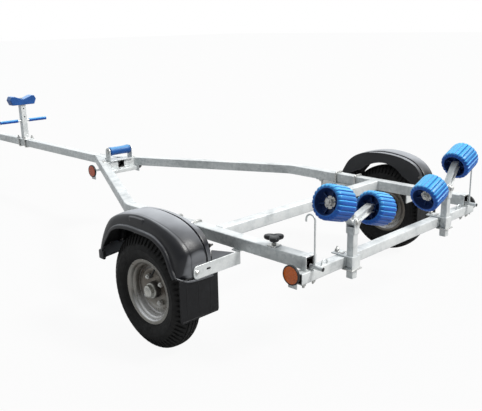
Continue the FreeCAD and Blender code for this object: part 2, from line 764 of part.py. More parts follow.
def bow_post():
    half = D["bow_post_size"] / 2
    mid = BOW_X
    foot = TOP + D["plate"]
    tube = box_tube("bow_post_tube", (mid - half, -half, foot), (mid + half, half, POST_TOP), "z")
    holes = [rod("bow_post_bar_hole", BAR, 4 * half, (mid, -2 * half, BAR_Z), "y")]
    for number, lift in enumerate((-WINCH_APART / 2, WINCH_APART / 2), start=1):
        holes.append(rod("winch_hole_%d" % number, WINCH_HOLE, 4 * half,
                         (mid - 2 * half, 0, WINCH_Z + lift), "x"))
    part("bow_post", cut("bow_post", tube, fuse("bow_post_holes", holes)))

    part("bow_post_base", box("bow_post_base", (mid - BASE_LONG, Dim.of(-BASE_WIDE), TOP),
                              (mid + BASE_LONG, Dim.of(BASE_WIDE), foot)))
    leg = SIZE / 2 + BOLT + BOLT_GAP
    bolts = [u_bolt("bow_post_bolt_%d" % number, mid + ahead, -leg, leg, TOP, LOW - BOLT)
             for number, ahead in enumerate((-BASE_BOLT, BASE_BOLT), start=1)]
    part("bow_post_u_bolts", together("bow_post_u_bolts", bolts))

    part("handle_bar", rod("handle_bar", BAR, 2 * BAR_HALF, (mid, Dim.of(-BAR_HALF), BAR_Z), "y"))
    grips = []
    for name, side in SIDES:
        grip = turned(name + "_grip", [
            (GRIP_IN * side, BAR), (GRIP_IN * side, GRIP), ((BAR_HALF + GRIP_END) * side, GRIP),
            ((BAR_HALF + GRIP_END) * side, 0), (BAR_HALF * side, 0), (BAR_HALF * side, BAR),
        ])
        place(grip, mid, 0, BAR_Z)
        grips.append(grip)
    part("handle_grips", together("handle_grips", grips))


SNUB_HALF = 101    # half the width of the bow snubber
SNUB_THICK = 62


def bow_snubber():
    """V-shaped block on the bow post that the boat's stem rests in."""
    base = POST_TOP
    body = new_body("bow_snubber")
    face = sketch(body, "snubber_face", "YZ_Plane")
    half = SNUB_HALF
    outline(face, [
        (-half + 16, base), (half - 16, base), (half, base + 38), (half - 14, base + 64),
        (half - 34, base + 64), (0, base + 40), (-half + 34, base + 64),
        (-half + 14, base + 64), (-half, base + 38),
    ])
    pad(body, face, SNUB_THICK, midplane=True)
    place(body, BOW_X, 0, 0)
    part("bow_snubber", body)


# ---------------------------------------------------------------- roller posts and rocking heads

FLANGE = 5         # thickness of a post clamp
CLAMP_WIDE = 50
CLAMP_PAST = 22    # post clamp's ends beyond the crossbeam
STUB_BELOW = 84    # post below the frame's lower face
POST_SLACK = 0.2   # gap between crossbeam and post
PIVOT_PIN = 6
EAR = 5
EAR_LAP = 26       # ear's weld below the post's top
BOSS = 15.5        # radius of a head's boss
BOSS_GAP = 4       # post's top below the boss
SIDE_GAP = 1       # end play of a head between its ears


def post_middle():
    """X of the roller posts' middle, behind the rear crossbeam."""
    return AXLE + BEAM_X - D["beam_size"] / 2 - POST_SLACK - D["post_size"] / 2


def pivot_height():
    return TOP + D["pivot_above"]


def roller_posts():
    """Square posts with ears for the rocking heads, and the folded clamps that hold the posts."""
    half = D["post_size"] / 2
    mid = post_middle()
    top = pivot_height() - BOSS - BOSS_GAP
    posts = []
    clamps = []
    for name, side in SIDES:
        y = D[name + "_post_y"] * side
        tube = box_tube(name + "_post_tube", (mid - half, y - half, LOW - STUB_BELOW),
                        (mid + half, y + half, top), "z")
        pieces = []
        for where, start in (("rear", mid - half - EAR), ("front", mid + half)):
            pieces.append(box("%s_%s_ear" % (name, where), (start, y - half, top - EAR_LAP),
                              (start + EAR, y + half, pivot_height())))
            pieces.append(rod("%s_%s_ear_round" % (name, where), half, EAR, (start, y, pivot_height()), "x"))
        ears = fuse(name + "_post_ears", pieces)
        hole = rod(name + "_ear_hole", PIVOT_PIN, 4 * half, (mid - 2 * half, y, pivot_height()), "x")
        posts.append(fuse(name + "_post", [tube, cut(name + "_ears", ears, hole)]))
        front = AXLE + BEAM_X + D["beam_size"] / 2 + CLAMP_PAST
        rear = mid - half - POST_SLACK
        low = LOW - D["beam_size"]
        wide = CLAMP_WIDE / 2
        outside = box(name + "_clamp_outside", (rear - FLANGE, y - wide, low - FLANGE),
                      (front, y + wide, LOW + FLANGE))
        inside = box(name + "_clamp_inside", (rear, y - wide - 1, low), (front + 1, y + wide + 1, LOW))
        slot = box(name + "_clamp_slot", (rear, y - half - POST_SLACK, low - 2 * FLANGE),
                   (mid + half + POST_SLACK, y + half + POST_SLACK, LOW + 2 * FLANGE))
        clamps.append(cut(name + "_clamp", outside, fuse(name + "_clamp_gaps", [inside, slot])))
    part("roller_posts", together("roller_posts", posts))
    part("post_clamps", together("post_clamps", clamps))
    pins = [rod(name + "_pivot_pin", PIVOT_PIN, 2 * (half + 2 * EAR),
                (mid - half - 2 * EAR, D[name + "_post_y"] * side, pivot_height()), "x") for name, side in SIDES]
    part("head_pivot_pins", together("head_pivot_pins", pins))


def on_head(side, post, tilt, along, above):
    """Y and Z of a point on a tilted head: along its roller axis, outboard, and above its pivot."""
    y = (post + along * cosine(tilt) - above * sine(tilt)) * side
    return y, pivot_height() + along * sine(tilt) + above * cosine(tilt)


HEAD_ARM = 30      # depth of a head's arms
STUB_ARM = 15      # half the length of the flat that carries a roller's axle
AXLE_GAP = 1       # end play of a roller on its axle
ROLLER_BORE = 10
WASHER = 24        # radius of a roller's washer
WASHER_THICK = 3
NUT = 15           # radius of a roller's nut
NUT_LONG = 12
ROLLER_ROUND = 8   # chamfer of a roller's rims


def roller_head(name, side):
    """V-shaped head that rocks on the post, with an axle stub on each arm."""
    tilt = D[name + "_tilt"]
    post = D[name + "_post_y"]
    mid = post_middle()
    rise = D["head_rise"]
    web_in = D["roller_gap"] + D["hollow_in"]
    web_out = D["roller_gap"] + D["roller_long"] - D["hollow_out"]
    tip = web_in - AXLE_GAP
    reach = tip - STUB_ARM
    deep = HEAD_ARM / 2 * root(1 + rise * rise / (reach * reach))
    body = new_body(name + "_roller_head")
    face = sketch(body, name + "_head_face", "YZ_Plane")
    end_high = rise + HEAD_ARM / 2
    end_low = rise - HEAD_ARM / 2
    outline(face, [
        (0, -deep), (reach - 4, end_low), (tip, end_low), (tip, end_high), (reach - 12, end_high),
        (0, deep), (-reach + 12, end_high), (-tip, end_high), (-tip, end_low), (-reach + 4, end_low),
    ])
    pad(body, face, D["post_size"] - 2 * SIDE_GAP, midplane=True)
    boss = sketch(body, name + "_head_boss", "YZ_Plane")
    circle(boss, 0, 0, Dim.of(BOSS))
    pad(body, boss, D["post_size"] - SIDE_GAP, midplane=True)
    bore = sketch(body, name + "_head_bore", "YZ_Plane")
    circle(bore, 0, 0, PIVOT_PIN + D["running"])
    pocket(body, bore, D["post_size"] * 2, midplane=True)
    place(body, mid, post * side, pivot_height(), (1, 0, 0), tilt * side)
    part(name + "_roller_head", body)

    axles = []
    washer = web_out + AXLE_GAP
    nut = washer + WASHER_THICK
    for which, sign in (("outer", 1), ("inner", -1)):
        points = [
            (tip, 0), (tip, ROLLER_BORE), (washer, ROLLER_BORE), (washer, WASHER), (nut, WASHER),
            (nut, NUT), (nut + NUT_LONG, NUT), (nut + NUT_LONG, 0),
        ]
        axle = turned("%s_%s_axle" % (name, which), [(y * sign * side, radius) for y, radius in points])
        y, z = on_head(side, post, tilt, 0, rise)
        place(axle, mid, y, z, (1, 0, 0), tilt * side)
        axles.append(axle)
    part(name + "_roller_axles", together(name + "_roller_axles", axles))

    half = D["roller_long"] / 2
    middle = D["roller_gap"] + half
    radius = D["roller_radius"]
    bore = ROLLER_BORE + D["running"]
    mouth = radius - 17
    floor = radius - 23
    for which, sign in (("outer", 1), ("inner", -1)):
        points = [
            (web_in - middle, bore), (web_in - middle, floor), (-half, mouth),
            (-half, radius - ROLLER_ROUND), (-half + ROLLER_ROUND, radius),
            (half - ROLLER_ROUND, radius), (half, radius - ROLLER_ROUND),
            (half, mouth), (web_out - middle, floor), (web_out - middle, bore),
        ]
        roller = turned("%s_%s_roller" % (name, which),
                        [(y * sign * side, rad) for y, rad in points])
        y, z = on_head(side, post, tilt, middle * sign, rise)
        place(roller, mid, y, z, (1, 0, 0), tilt * side)
        part("%s_%s_roller" % (name, which), roller)


# ---------------------------------------------------------------- lights, eyes and reflectors

REFLECTOR = 37.5       # radius of a reflector
REFLECTOR_DEEP = 11
BRACKET = 4            # thickness of a reflector's bracket
BRACKET_HALF = 20      # half the width of a reflector's bracket
BRACKET_TALL = 52      # bracket's lower end below a reflector's middle
FRONT_BELOW = 2        # front reflector's middle below the frame's lower face
REAR_BELOW = 8         # rear reflector's middle below the frame's lower face
FRONT_PAST = 44        # front reflector's back beyond the rail's outer face
FRONT_ARM = 64         # length of a front reflector's arm under the rail
REAR_PAST = 8          # rear reflector's back beyond the crossbeam's end


def rail_outer_at(ahead):
    """Centre line to a rail's outer face, some way ahead of the axle."""
    return rail_inner_at(ahead) + SIZE / cosine(D["bend_angle"])


def reflector(name, kind, side, ahead, back, middle, top):
    """A round reflector and its upright plate, which ends at a height by the frame."""
    low_y, high_y = across(side, back, back + REFLECTOR_DEEP)
    disc = rod("%s_%s_reflector" % (name, kind), REFLECTOR, REFLECTOR_DEEP,
               (AXLE + ahead, low_y, middle), "y")
    low_y, high_y = across(side, back - BRACKET, back)
    plate = box("%s_%s_reflector_plate" % (name, kind),
                (AXLE + ahead - BRACKET_HALF, low_y, middle - BRACKET_TALL),
                (AXLE + ahead + BRACKET_HALF, high_y, top))
    return disc, plate


def reflectors():
    discs = {"front": [], "rear": []}
    plates = []
    beam = D["beam_size"]
    for name, side in SIDES:
        ahead = NOSE + 63
        back = rail_outer_at(ahead) + FRONT_PAST
        disc, plate = reflector(name, "front", side, ahead, back, LOW - FRONT_BELOW, LOW - BRACKET)
        low_y, high_y = across(side, back - FRONT_ARM, back)
        arm = box(name + "_front_reflector_arm", (AXLE + ahead - BRACKET_HALF, low_y, LOW - BRACKET),
                  (AXLE + ahead + BRACKET_HALF, high_y, LOW))
        discs["front"].append(disc)
        plates.append(fuse(name + "_front_reflector_bracket", [plate, arm]))

        ahead = BEAM_X + 17.5
        back = BEAM_END + REAR_PAST
        disc, plate = reflector(name, "rear", side, ahead, back, LOW - REAR_BELOW, LOW)
        low_y, high_y = across(side, BEAM_END, back)
        block = box(name + "_rear_reflector_pad", (AXLE + ahead - 18, low_y, LOW - beam + 4),
                    (AXLE + ahead + 18, high_y, LOW - 4))
        discs["rear"].append(disc)
        plates.append(fuse(name + "_rear_reflector_bracket", [plate, block]))
    part("rear_reflectors", together("rear_reflectors", discs["rear"]))
    part("front_reflectors", together("front_reflectors", discs["front"]))
    part("reflector_brackets", together("reflector_brackets", plates))


EYE_Y = D["frame_half"] - 101       # centre line to a lashing eye
EYE_BACK = 12                       # lashing eye behind the crossbeam's middle
EYE = 12.5
EYE_ROD = 3
EYE_TURN = (0.57735, 0.57735, 0.57735)


def lashing_eyes():
    """Half rings of rod that stand on the rear crossbeam."""
    eyes = [half_ring(name + "_lashing_eye", EYE, EYE_ROD, (AXLE + BEAM_X - EYE_BACK, EYE_Y * side, LOW),
                      EYE_TURN, 120)
            for name, side in SIDES]
    part("lashing_eyes", together("lashing_eyes", eyes))


LIGHT_ARM_REAR = D["rail_rear"] - 58        # X of a light board arm's rear end
LIGHT_ARM_LONG = 248
HOOK_X = D["rail_rear"] - 20                # X of the hook's upright
HOOK_TOP = TOP + 132                        # height where the hook starts to curl
HOOK_CURL = 20
HOOK_ROD = 3.5
HOOK_TIP = 8
KNOB_X = D["rail_rear"] + 172
KNOB_Y = D["frame_half"] - 25
KNOB_PLATE = 20                             # half side of a knob's plate
KNOB_PLATE_THICK = 4
KNOB_STEM = 6                               # radius of a knob's stem
KNOB_LIFT = 22                              # knob's underside above the rail
KNOB_TALL = 18
LOBE = 15                                   # radius of a knob's lobe
LOBE_OUT = 24                               # knob's middle to a lobe's middle


def light_board_arms():
    """Round arms that slide in the rails and carry the lamp board's hooks."""
    arm_z = LOW + ARM_ABOVE
    hook_x = AXLE + HOOK_X
    for name, side in SIDES:
        y = ARM_Y * side
        arm = rod(name + "_arm_rod", ARM_RADIUS, LIGHT_ARM_LONG, (AXLE + LIGHT_ARM_REAR, y, arm_z), "x")
        upright = rod(name + "_hook_upright", HOOK_ROD, HOOK_TOP - arm_z, (hook_x, y, arm_z))
        curl = half_ring(name + "_hook_curl", HOOK_CURL, HOOK_ROD, (hook_x + HOOK_CURL, y, HOOK_TOP),
                         (1, 0, 0), 90)
        tip = rod(name + "_hook_tip", HOOK_ROD, HOOK_TIP, (hook_x + 2 * HOOK_CURL, y, HOOK_TOP - HOOK_TIP))
        part(name + "_light_arm", fuse(name + "_light_arm", [arm, upright, curl, tip]))


def knobs():
    """Three-lobed knobs on the rails that clamp the light board arms."""
    made = []
    x = AXLE + KNOB_X
    for name, side in SIDES:
        y = KNOB_Y * side
        pieces = [
            box(name + "_knob_plate", (x - KNOB_PLATE, y - KNOB_PLATE, TOP),
                (x + KNOB_PLATE, y + KNOB_PLATE, TOP + KNOB_PLATE_THICK)),
            rod(name + "_knob_stem", KNOB_STEM, KNOB_LIFT + 4, (x, y, TOP)),
            rod(name + "_knob_middle", LOBE + 5, KNOB_TALL, (x, y, TOP + KNOB_LIFT)),
        ]
        for lobe in range(3):
            turn = math.radians(120 * lobe + 15)
            at = (x + LOBE_OUT * math.cos(turn), y + LOBE_OUT * math.sin(turn), TOP + KNOB_LIFT)
            pieces.append(rod("%s_knob_lobe_%d" % (name, lobe + 1), LOBE, KNOB_TALL, at))
        made.append(fuse(name + "_knob", pieces))
    part("light_arm_knobs", together("light_arm_knobs", made))


# ---------------------------------------------------------------- coupling and jockey wheel

SLEEVE = 90            # coupling's sleeve over the drawbar
SHELL = 4              # thickness of the coupling's steel
SOCKET = 7             # thickness of the coupling round the ball
SOCKET_BELOW = 12      # ball's middle below the frame's top
SOCKET_DEEP = 20       # coupling's lower edge below the ball's middle
NECK_JOINT = 66        # ball's housing starts ahead of the drawbar's front end
NECK_HALF = 22
NECK_DEEP = 34
LEVER_HALF = 12
LEVER_BACK = 60        # lever's grip behind the drawbar's front end
LEVER_PAD = 22         # lever's foot ahead of the drawbar's front end
LEVER_FRONT = 62
EYE_PLATE = 6          # thickness of the safety chain's plate
EYE_PLATE_BACK = 160   # its rear end behind the drawbar's front end
EYE_PLATE_LONG = 50
EYE_PLATE_DROP = 40
EYE_HOLE = 8


def coupling():
    """Coupling's sleeve on the drawbar's front end and its housing, open below for the tow ball."""
    ball_z = TOP - SOCKET_BELOW
    front = AXLE + FRONT
    ball_x = front + D["ball_ahead"]
    half = SIZE / 2
    radius = D["ball_radius"]
    outside = radius + SOCKET
    sleeve = box("coupling_sleeve_box", (front - SLEEVE, -half - SHELL, LOW + 10),
                 (front + 20, half + SHELL, TOP + SHELL))
    sleeve_gap = box("coupling_sleeve_gap", (front - SLEEVE - 1, -half, LOW), (front, half, TOP))
    neck = box("coupling_neck", (front, Dim.of(-NECK_HALF), TOP - NECK_DEEP),
               (front + NECK_JOINT, Dim.of(NECK_HALF), TOP + SHELL))
    plain = fuse("coupling_sleeve_solid", [sleeve, neck])
    part("coupling_sleeve", cut("coupling_sleeve_cut", plain, sleeve_gap))

    throat = box("coupling_throat", (front + NECK_JOINT, Dim.of(-NECK_HALF), TOP - NECK_DEEP),
                 (ball_x, Dim.of(NECK_HALF), TOP + SHELL))
    dome = ball("coupling_dome", outside, (ball_x, 0, ball_z))
    nose = rod("coupling_nose", outside, SOCKET_DEEP + 4, (ball_x, 0, ball_z - SOCKET_DEEP - 4))
    socket = ball("coupling_socket_ball", radius, (ball_x, 0, ball_z))
    mouth = rod("coupling_socket_mouth", radius, 80, (ball_x, 0, ball_z - 80))
    under = box("coupling_under", (ball_x - outside - 2, -outside - 2, ball_z - 80),
                (ball_x + outside + 2, outside + 2, ball_z - SOCKET_DEEP))
    solid = fuse("coupling_socket_solid", [throat, dome, nose])
    gaps = fuse("coupling_socket_gaps", [socket, mouth, under])
    part("coupling_socket", cut("coupling_socket_cut", solid, gaps))

    low = TOP + SHELL
    lever = fuse("coupling_lever", [
        box("lever_pad", (front + LEVER_PAD, Dim.of(-LEVER_HALF), low),
            (front + LEVER_FRONT, Dim.of(LEVER_HALF), low + 12)),
        box("lever_grip", (front - LEVER_BACK, Dim.of(-LEVER_HALF), low + 12),
            (front + LEVER_FRONT, Dim.of(LEVER_HALF), low + 22)),
    ])
    part("coupling_lever", lever)

    rear = front - EYE_PLATE_BACK
    end = rear + EYE_PLATE_LONG
    low = LOW - EYE_PLATE
    pad_plate = box("chain_plate_plain", (rear, Dim.of(-20), low), (end, Dim.of(20), LOW))
    drop = box("chain_plate_drop", (rear, Dim.of(-EYE_PLATE / 2), low - EYE_PLATE_DROP),
               (end, Dim.of(EYE_PLATE / 2), low))
    hole = rod("chain_plate_hole", EYE_HOLE, 20,
               (rear + EYE_PLATE_LONG / 2, Dim.of(-10), low - EYE_PLATE_DROP / 2), "y")
    part("safety_chain_plate", cut("safety_chain_plate", fuse("chain_plate_solid", [pad_plate, drop]), hole))


JOCKEY_BLOCK = 30                   # half length of the jockey wheel's clamp
JOCKEY_TUBE = 24                    # radius of the outer tube
JOCKEY_BORE = 21                    # radius of the outer tube's bore
JOCKEY_INNER = 20.9                 # radius of the stem
JOCKEY_LOW = LOW - 60               # height of the outer tube's lower end
JOCKEY_TOP = TOP + 310              # height of the outer tube's top
STEM_TOP = TOP + 200                # height of the stem's top
FORK_TOP = D["jockey_radius"] + 122 # height of the fork's top
SPIGOT = 9                          # radius of the stem's spigot in the fork
COLLAR = 26                         # radius of the stem's collar
COLLAR_THICK = 12
COLLAR_GAP = 0.3                    # collar above the fork
CRANK = 8                           # half width of the crank's arm
CRANK_REACH = 130
TRAIL = 40                          # stem's axis to the jockey wheel's axis
FORK_IN = 28                        # half the gap between the fork's sides
FORK_SKIN = 5
FORK_HALF = 20                      # half the width of a fork's side
JOCKEY_PIN = 8
TREAD_HALF = 25                     # half width of the jockey wheel's tyre
WEB_HALF = 14                       # half thickness of the jockey wheel's web
HUB_ROUND = 26                      # radius of the jockey wheel's hub


def jockey_wheel():
    x = AXLE + FRONT - SLEEVE - D["jockey_gap"] - JOCKEY_BLOCK
    y = -D["jockey_y"]
    radius = Dim.of(JOCKEY_TUBE)
    low = LOW - 5
    block = box("jockey_clamp_block", (x - JOCKEY_BLOCK, y - JOCKEY_TUBE - 6, low),
                (x + JOCKEY_BLOCK, -SIZE / 2, TOP + 5))
    hole = rod("jockey_clamp_hole", radius, SIZE + 40, (x, y, low - 10))
    part("jockey_clamp", cut("jockey_clamp", block, hole))

    outer = rod("jockey_outer", radius, JOCKEY_TOP - JOCKEY_LOW, (x, y, JOCKEY_LOW))
    bore = rod("jockey_outer_bore", JOCKEY_BORE, STEM_TOP + 88 - JOCKEY_LOW, (x, y, JOCKEY_LOW - 2))
    shell = cut("jockey_outer_shell", outer, bore)
    screw = rod("jockey_crank_screw", CRANK, 30, (x, y, JOCKEY_TOP))
    arm = box("jockey_crank_arm", (x - 10, y - CRANK, JOCKEY_TOP + 20),
              (x + CRANK_REACH, y + CRANK, JOCKEY_TOP + 28))
    knob = rod("jockey_crank_knob", 11, 60, (x + CRANK_REACH - 12, y, JOCKEY_TOP + 28))
    part("jockey_outer_tube", fuse("jockey_outer_tube", [shell, screw, arm, knob]))

    foot = FORK_TOP + COLLAR_THICK
    stem = rod("jockey_stem_rod", JOCKEY_INNER, STEM_TOP - foot, (x, y, foot))
    collar = rod("jockey_stem_collar", COLLAR, COLLAR_THICK, (x, y, FORK_TOP + COLLAR_GAP))
    spigot = rod("jockey_stem_spigot", SPIGOT, 20, (x, y, FORK_TOP - 14))
    part("jockey_stem", fuse("jockey_stem", [stem, collar, spigot]))

    wheel_z = D["jockey_radius"]
    axis_x = x - TRAIL
    outside = FORK_IN + FORK_SKIN
    pieces = [box("fork_crown", (axis_x - FORK_HALF, y - outside, FORK_TOP - 8),
                  (x + 30, y + outside, FORK_TOP))]
    for name, side in SIDES:
        start = y + FORK_IN if side > 0 else y - outside
        pieces.append(box(name + "_fork_side", (axis_x - FORK_HALF, start, wheel_z),
                          (axis_x + FORK_HALF, start + FORK_SKIN, FORK_TOP)))
        pieces.append(rod(name + "_fork_eye", FORK_HALF, FORK_SKIN, (axis_x, start, wheel_z), "y"))
    pieces.append(rod("fork_pin", JOCKEY_PIN, 2 * outside + 12, (axis_x, y - outside - 6, wheel_z), "y"))
    solid = fuse("fork_solid", pieces)
    socket = rod("fork_socket", SPIGOT + D["running"], 60, (x, y, FORK_TOP - 40))
    part("jockey_fork", cut("jockey_fork", solid, socket))

    bore = JOCKEY_PIN + D["running"]
    big = D["jockey_radius"]
    half = TREAD_HALF
    web = WEB_HALF
    tyre = turned("jockey_wheel", [
        (-half, bore), (-half, 22), (-web, HUB_ROUND), (-web, big - 38), (-half, big - 30),
        (-half, big - 8), (8 - half, big), (half - 8, big), (half, big - 8), (half, big - 30),
        (web, big - 38), (web, HUB_ROUND), (half, 22), (half, bore),
    ])
    place(tyre, axis_x, y, wheel_z)
    part("jockey_wheel", tyre)


# ---------------------------------------------------------------- build and write

def build():
    for name, side in SIDES:
        side_rail(name, side)
    straight_members()
    end_caps()
    rail_straps()
    for name, side in SIDES:
        suspension(name, side)
        wheel(name, side)
        mudguard(name, side)
    suspension_u_bolts()
    mudguard_brackets()
    nose_plates()
    keel_roller()
    bow_post()
    bow_snubber()
    roller_posts()
    for name, side in SIDES:
        roller_head(name, side)
    reflectors()
    lashing_eyes()
    light_board_arms()
    knobs()
    coupling()
    jockey_wheel()


def check_and_write():
    """Stop on any failed object, then write one file per sub-part."""
    doc.recompute()
    for thing in doc.Objects:
        if "Invalid" in thing.State or "Error" in thing.State:
            raise RuntimeError("%s failed: %s" % (thing.Name, thing.State))
    for thing in PARTS:
        shape = thing.Shape
        if shape.isNull() or not shape.isValid() or not shape.Solids:
            raise RuntimeError("%s has no valid shape" % thing.Label)
        shape.exportStep("parts/%s.step" % thing.Label)


build()
check_and_write()
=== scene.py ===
import json
from math import acos, atan2, copysign, cos, hypot, pi, radians, sin, tan

import bmesh
import bpy
from mathutils import Matrix, Vector


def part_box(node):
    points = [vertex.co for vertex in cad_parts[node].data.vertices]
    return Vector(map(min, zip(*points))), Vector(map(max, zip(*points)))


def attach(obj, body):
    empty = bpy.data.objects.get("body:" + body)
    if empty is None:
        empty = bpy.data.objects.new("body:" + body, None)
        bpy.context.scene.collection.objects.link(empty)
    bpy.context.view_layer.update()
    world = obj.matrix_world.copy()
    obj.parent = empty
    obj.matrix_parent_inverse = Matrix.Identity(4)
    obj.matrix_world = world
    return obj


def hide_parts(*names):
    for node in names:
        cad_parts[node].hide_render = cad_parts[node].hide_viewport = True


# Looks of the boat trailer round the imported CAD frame. +X is forward to the coupling, +Y the
# trailer's left, +Z up, and the floor is Z = 0. Shapes are worked out in millimetres and become
# metres when their mesh is made. Materials, lights, the floor and the camera are in metres.

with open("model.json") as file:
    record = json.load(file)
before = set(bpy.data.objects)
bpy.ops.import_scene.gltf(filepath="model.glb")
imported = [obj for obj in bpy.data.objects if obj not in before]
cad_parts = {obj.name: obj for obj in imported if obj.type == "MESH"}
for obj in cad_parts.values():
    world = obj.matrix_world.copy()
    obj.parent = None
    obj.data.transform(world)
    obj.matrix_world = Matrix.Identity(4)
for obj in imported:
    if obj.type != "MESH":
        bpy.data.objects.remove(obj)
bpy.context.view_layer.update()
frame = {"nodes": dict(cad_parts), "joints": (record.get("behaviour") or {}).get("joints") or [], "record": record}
JOINT = {j["name"]: j for j in frame["joints"]}
SIDES = (("left", 1), ("right", -1))
MM = 0.001
UP, DOWN, AHEAD, BACK, LEFT = (0, 0, 1), (0, 0, -1), (1, 0, 0), (-1, 0, 0), (0, 1, 0)


def box(node):
    """Lowest and highest corner of a CAD node."""
    return [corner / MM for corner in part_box(node)]


def joint_spot(name):
    return Vector(JOINT[name]["pos_m"]) / MM


AXLE = joint_spot("left_wheel_spin")
DRAW = box("drawbar")
CROSS = box("cross_member")
BEAM = box("rear_crossbeam")
REAR, LOW = box("left_side_rail")[0].xz
OUTER, TOP = box("left_side_rail")[1].yz
RAIL = TOP - LOW
WALL = 3
# how far apart the ripples of a weld bead are
RIPPLE = 1.601
BEND = AXLE.x + 508
BEND_ANGLE = radians(26.5)


# ---------------------------------------------------------------- shapes

class Shape:
    """Points and faces of one piece; kind is the material slot of the next faces."""

    def __init__(self):
        self.points, self.faces, self.kinds = [], [], []
        self.kind = 0

    def face(self, items):
        self.faces.append(tuple(items))
        self.kinds.append(self.kind)

    def rows(self, rows, wrap=False, close=False):
        """Faces between rows of points; wrap joins last row to first, close each row's ends."""
        base, wide = len(self.points), len(rows[0])
        for row in rows:
            self.points.extend(row)
        for i in range(len(rows) if wrap else len(rows) - 1):
            here, there = base + i * wide, base + (i + 1) % len(rows) * wide
            for k in range(wide if close else wide - 1):
                n = (k + 1) % wide
                self.face((here + k, here + n, there + n, there + k))

    def loft(self, rows):
        """A solid through closed rows of points, flat at both ends."""
        self.rows(rows, close=True)
        for ring in (rows[0], rows[-1]):
            base = len(self.points)
            self.points.extend(ring)
            self.face(range(base, base + len(ring)))


def at(origin, axis, side=None):
    """Placement with local Z along an axis and local X towards a side."""
    z = Vector(axis).normalized()
    x = Vector(side or (UP if abs(z.z) < 0.9 else AHEAD))
    x = (x - z * x.dot(z)).normalized()
    place = Matrix((x, z.cross(x), z)).transposed().to_4x4()
    place.translation = Vector(origin)
    return place


def lathe(shape, place, profile, count=48, closed=False):
    """Turn (along, radius) points about local Z."""
    turns = [2 * pi * k / count for k in range(count)]
    shape.rows([[place @ Vector((r * cos(a), r * sin(a), z)) for z, r in profile] for a in turns],
               wrap=True, close=closed)


def disc(shape, place, radius, low, high, hole=0, soft=0.5, count=32):
    """A washer, collar or plain rod end with softened rims."""
    lathe(shape, place, [(low, hole), (low, radius - soft), (low + soft, radius),
                         (high - soft, radius), (high, radius - soft), (high, hole)],
          count, closed=hole > 0)


def hexagon(shape, place, radius, low, high):
    """The six sides of a nut or a bolt's head, corners chamfered."""
    c = radius * 0.1
    lathe(shape, place, [(low, 0), (low, radius * 0.9), (low + c, radius), (high - c, radius),
                         (high, radius * 0.87), (high, 0)], 6)


def thread(shape, place, radius, low, high):
    """A threaded end, as rings of ridges about 1.5 mm apart."""
    steps = max(2, int((high - low) / 1.5))
    pitch = (high - low) / steps
    profile = [(low, 0), (low, radius * 0.88)]
    for k in range(steps):
        z = low + pitch * (k + 0.5)
        profile += [(z, radius), (z + pitch * 0.45, radius * 0.88)]
    lathe(shape, place, profile + [(high, radius * 0.8), (high, 0)], 20)


def bolt_head(shape, place, size, tall=0.65):
    """Washer and hex head that stand on a face."""
    disc(shape, place, size * 1.05, 0, size * 0.2)
    hexagon(shape, place, size * 0.97, size * 0.2, size * (0.2 + tall))


def nut(shape, place, size, proud=6):
    """Washer, nut and bolt end that stand on a face."""
    bolt_head(shape, place, size, 0.82)
    thread(shape, place, size * 0.5, size, size * 1.02 + proud)


def coach_head(shape, place, size):
    """The mushroom head of a coach bolt."""
    turns = [radians(d) for d in (0, 12, 25, 40, 55, 70, 82)]
    dome = [(size * 0.5 * sin(a), size * 1.05 * cos(a)) for a in turns]
    lathe(shape, place, [(0, 0)] + dome + [(size * 0.5, 0)], 28)


def softened(corners, radius, steps=5):
    """A closed 2-D outline with its corners rounded; a corner may carry its own radius."""
    out = []
    for k, corner in enumerate(corners):
        here = Vector(corner[:2])
        before = Vector(corners[k - 1][:2]) - here
        after = Vector(corners[(k + 1) % len(corners)][:2]) - here
        r = corner[2] if len(corner) > 2 else radius
        a, b = before.normalized(), after.normalized()
        angle = acos(max(-1, min(1, a.dot(b))))
        if r <= 0 or angle > radians(175):
            out.append(here)
            continue
        back = min(r / tan(angle / 2), before.length * 0.49, after.length * 0.49)
        middle = here + (a + b).normalized() * (back * tan(angle / 2) / sin(angle / 2))
        start, end = here + a * back - middle, here + b * back - middle
        turn = atan2(start.x * end.y - start.y * end.x, start.dot(end))
        for i in range(steps + 1):
            t = turn * i / steps
            out.append(middle + Vector((start.x * cos(t) - start.y * sin(t),
                                        start.x * sin(t) + start.y * cos(t))))
    return out


def oblong(x0, y0, x1, y1, radius, steps=4):
    """A rectangle with rounded corners."""
    return softened([(x0, y0), (x1, y0), (x1, y1), (x0, y1)], radius, steps)


def square(size, radius):
    return oblong(-size / 2, -size / 2, size / 2, size / 2, radius)


def inset(loop, depth):
    """A closed 2-D outline moved inwards."""
    area = sum(loop[k - 1].x * p.y - loop[k - 1].y * p.x for k, p in enumerate(loop))
    out = []
    for k, p in enumerate(loop):
        a, b = p - loop[k - 1], loop[(k + 1) % len(loop)] - p
        if a.length < 1e-6:
            a = b
        if b.length < 1e-6:
            b = a
        na, nb = [Vector((-q.y, q.x)).normalized() * copysign(1, area) for q in (a, b)]
        n = na + nb
        out.append(p + n * (depth / max(0.3, n.dot(na))) if n.length > 1e-6 else p.copy())
    return out


def slab(shape, place, loop, low, high, soft=0.8):
    """A flat plate with softened rims from a 2-D outline in the place's XY."""
    shape.loft([[place @ Vector((p.x, p.y, z)) for p in inset(loop, depth)]
                for z, depth in ((low, soft), (low + soft, 0), (high - soft, 0), (high, soft))])


def block(shape, low, high, soft=1):
    """A plain block between two corners with softened edges."""
    half = (Vector(high) - Vector(low)) / 2
    slab(shape, Matrix.Translation((Vector(low) + Vector(high)) / 2),
         oblong(-half.x, -half.y, half.x, half.y, soft * 2, 3), -half.z, half.z, soft)


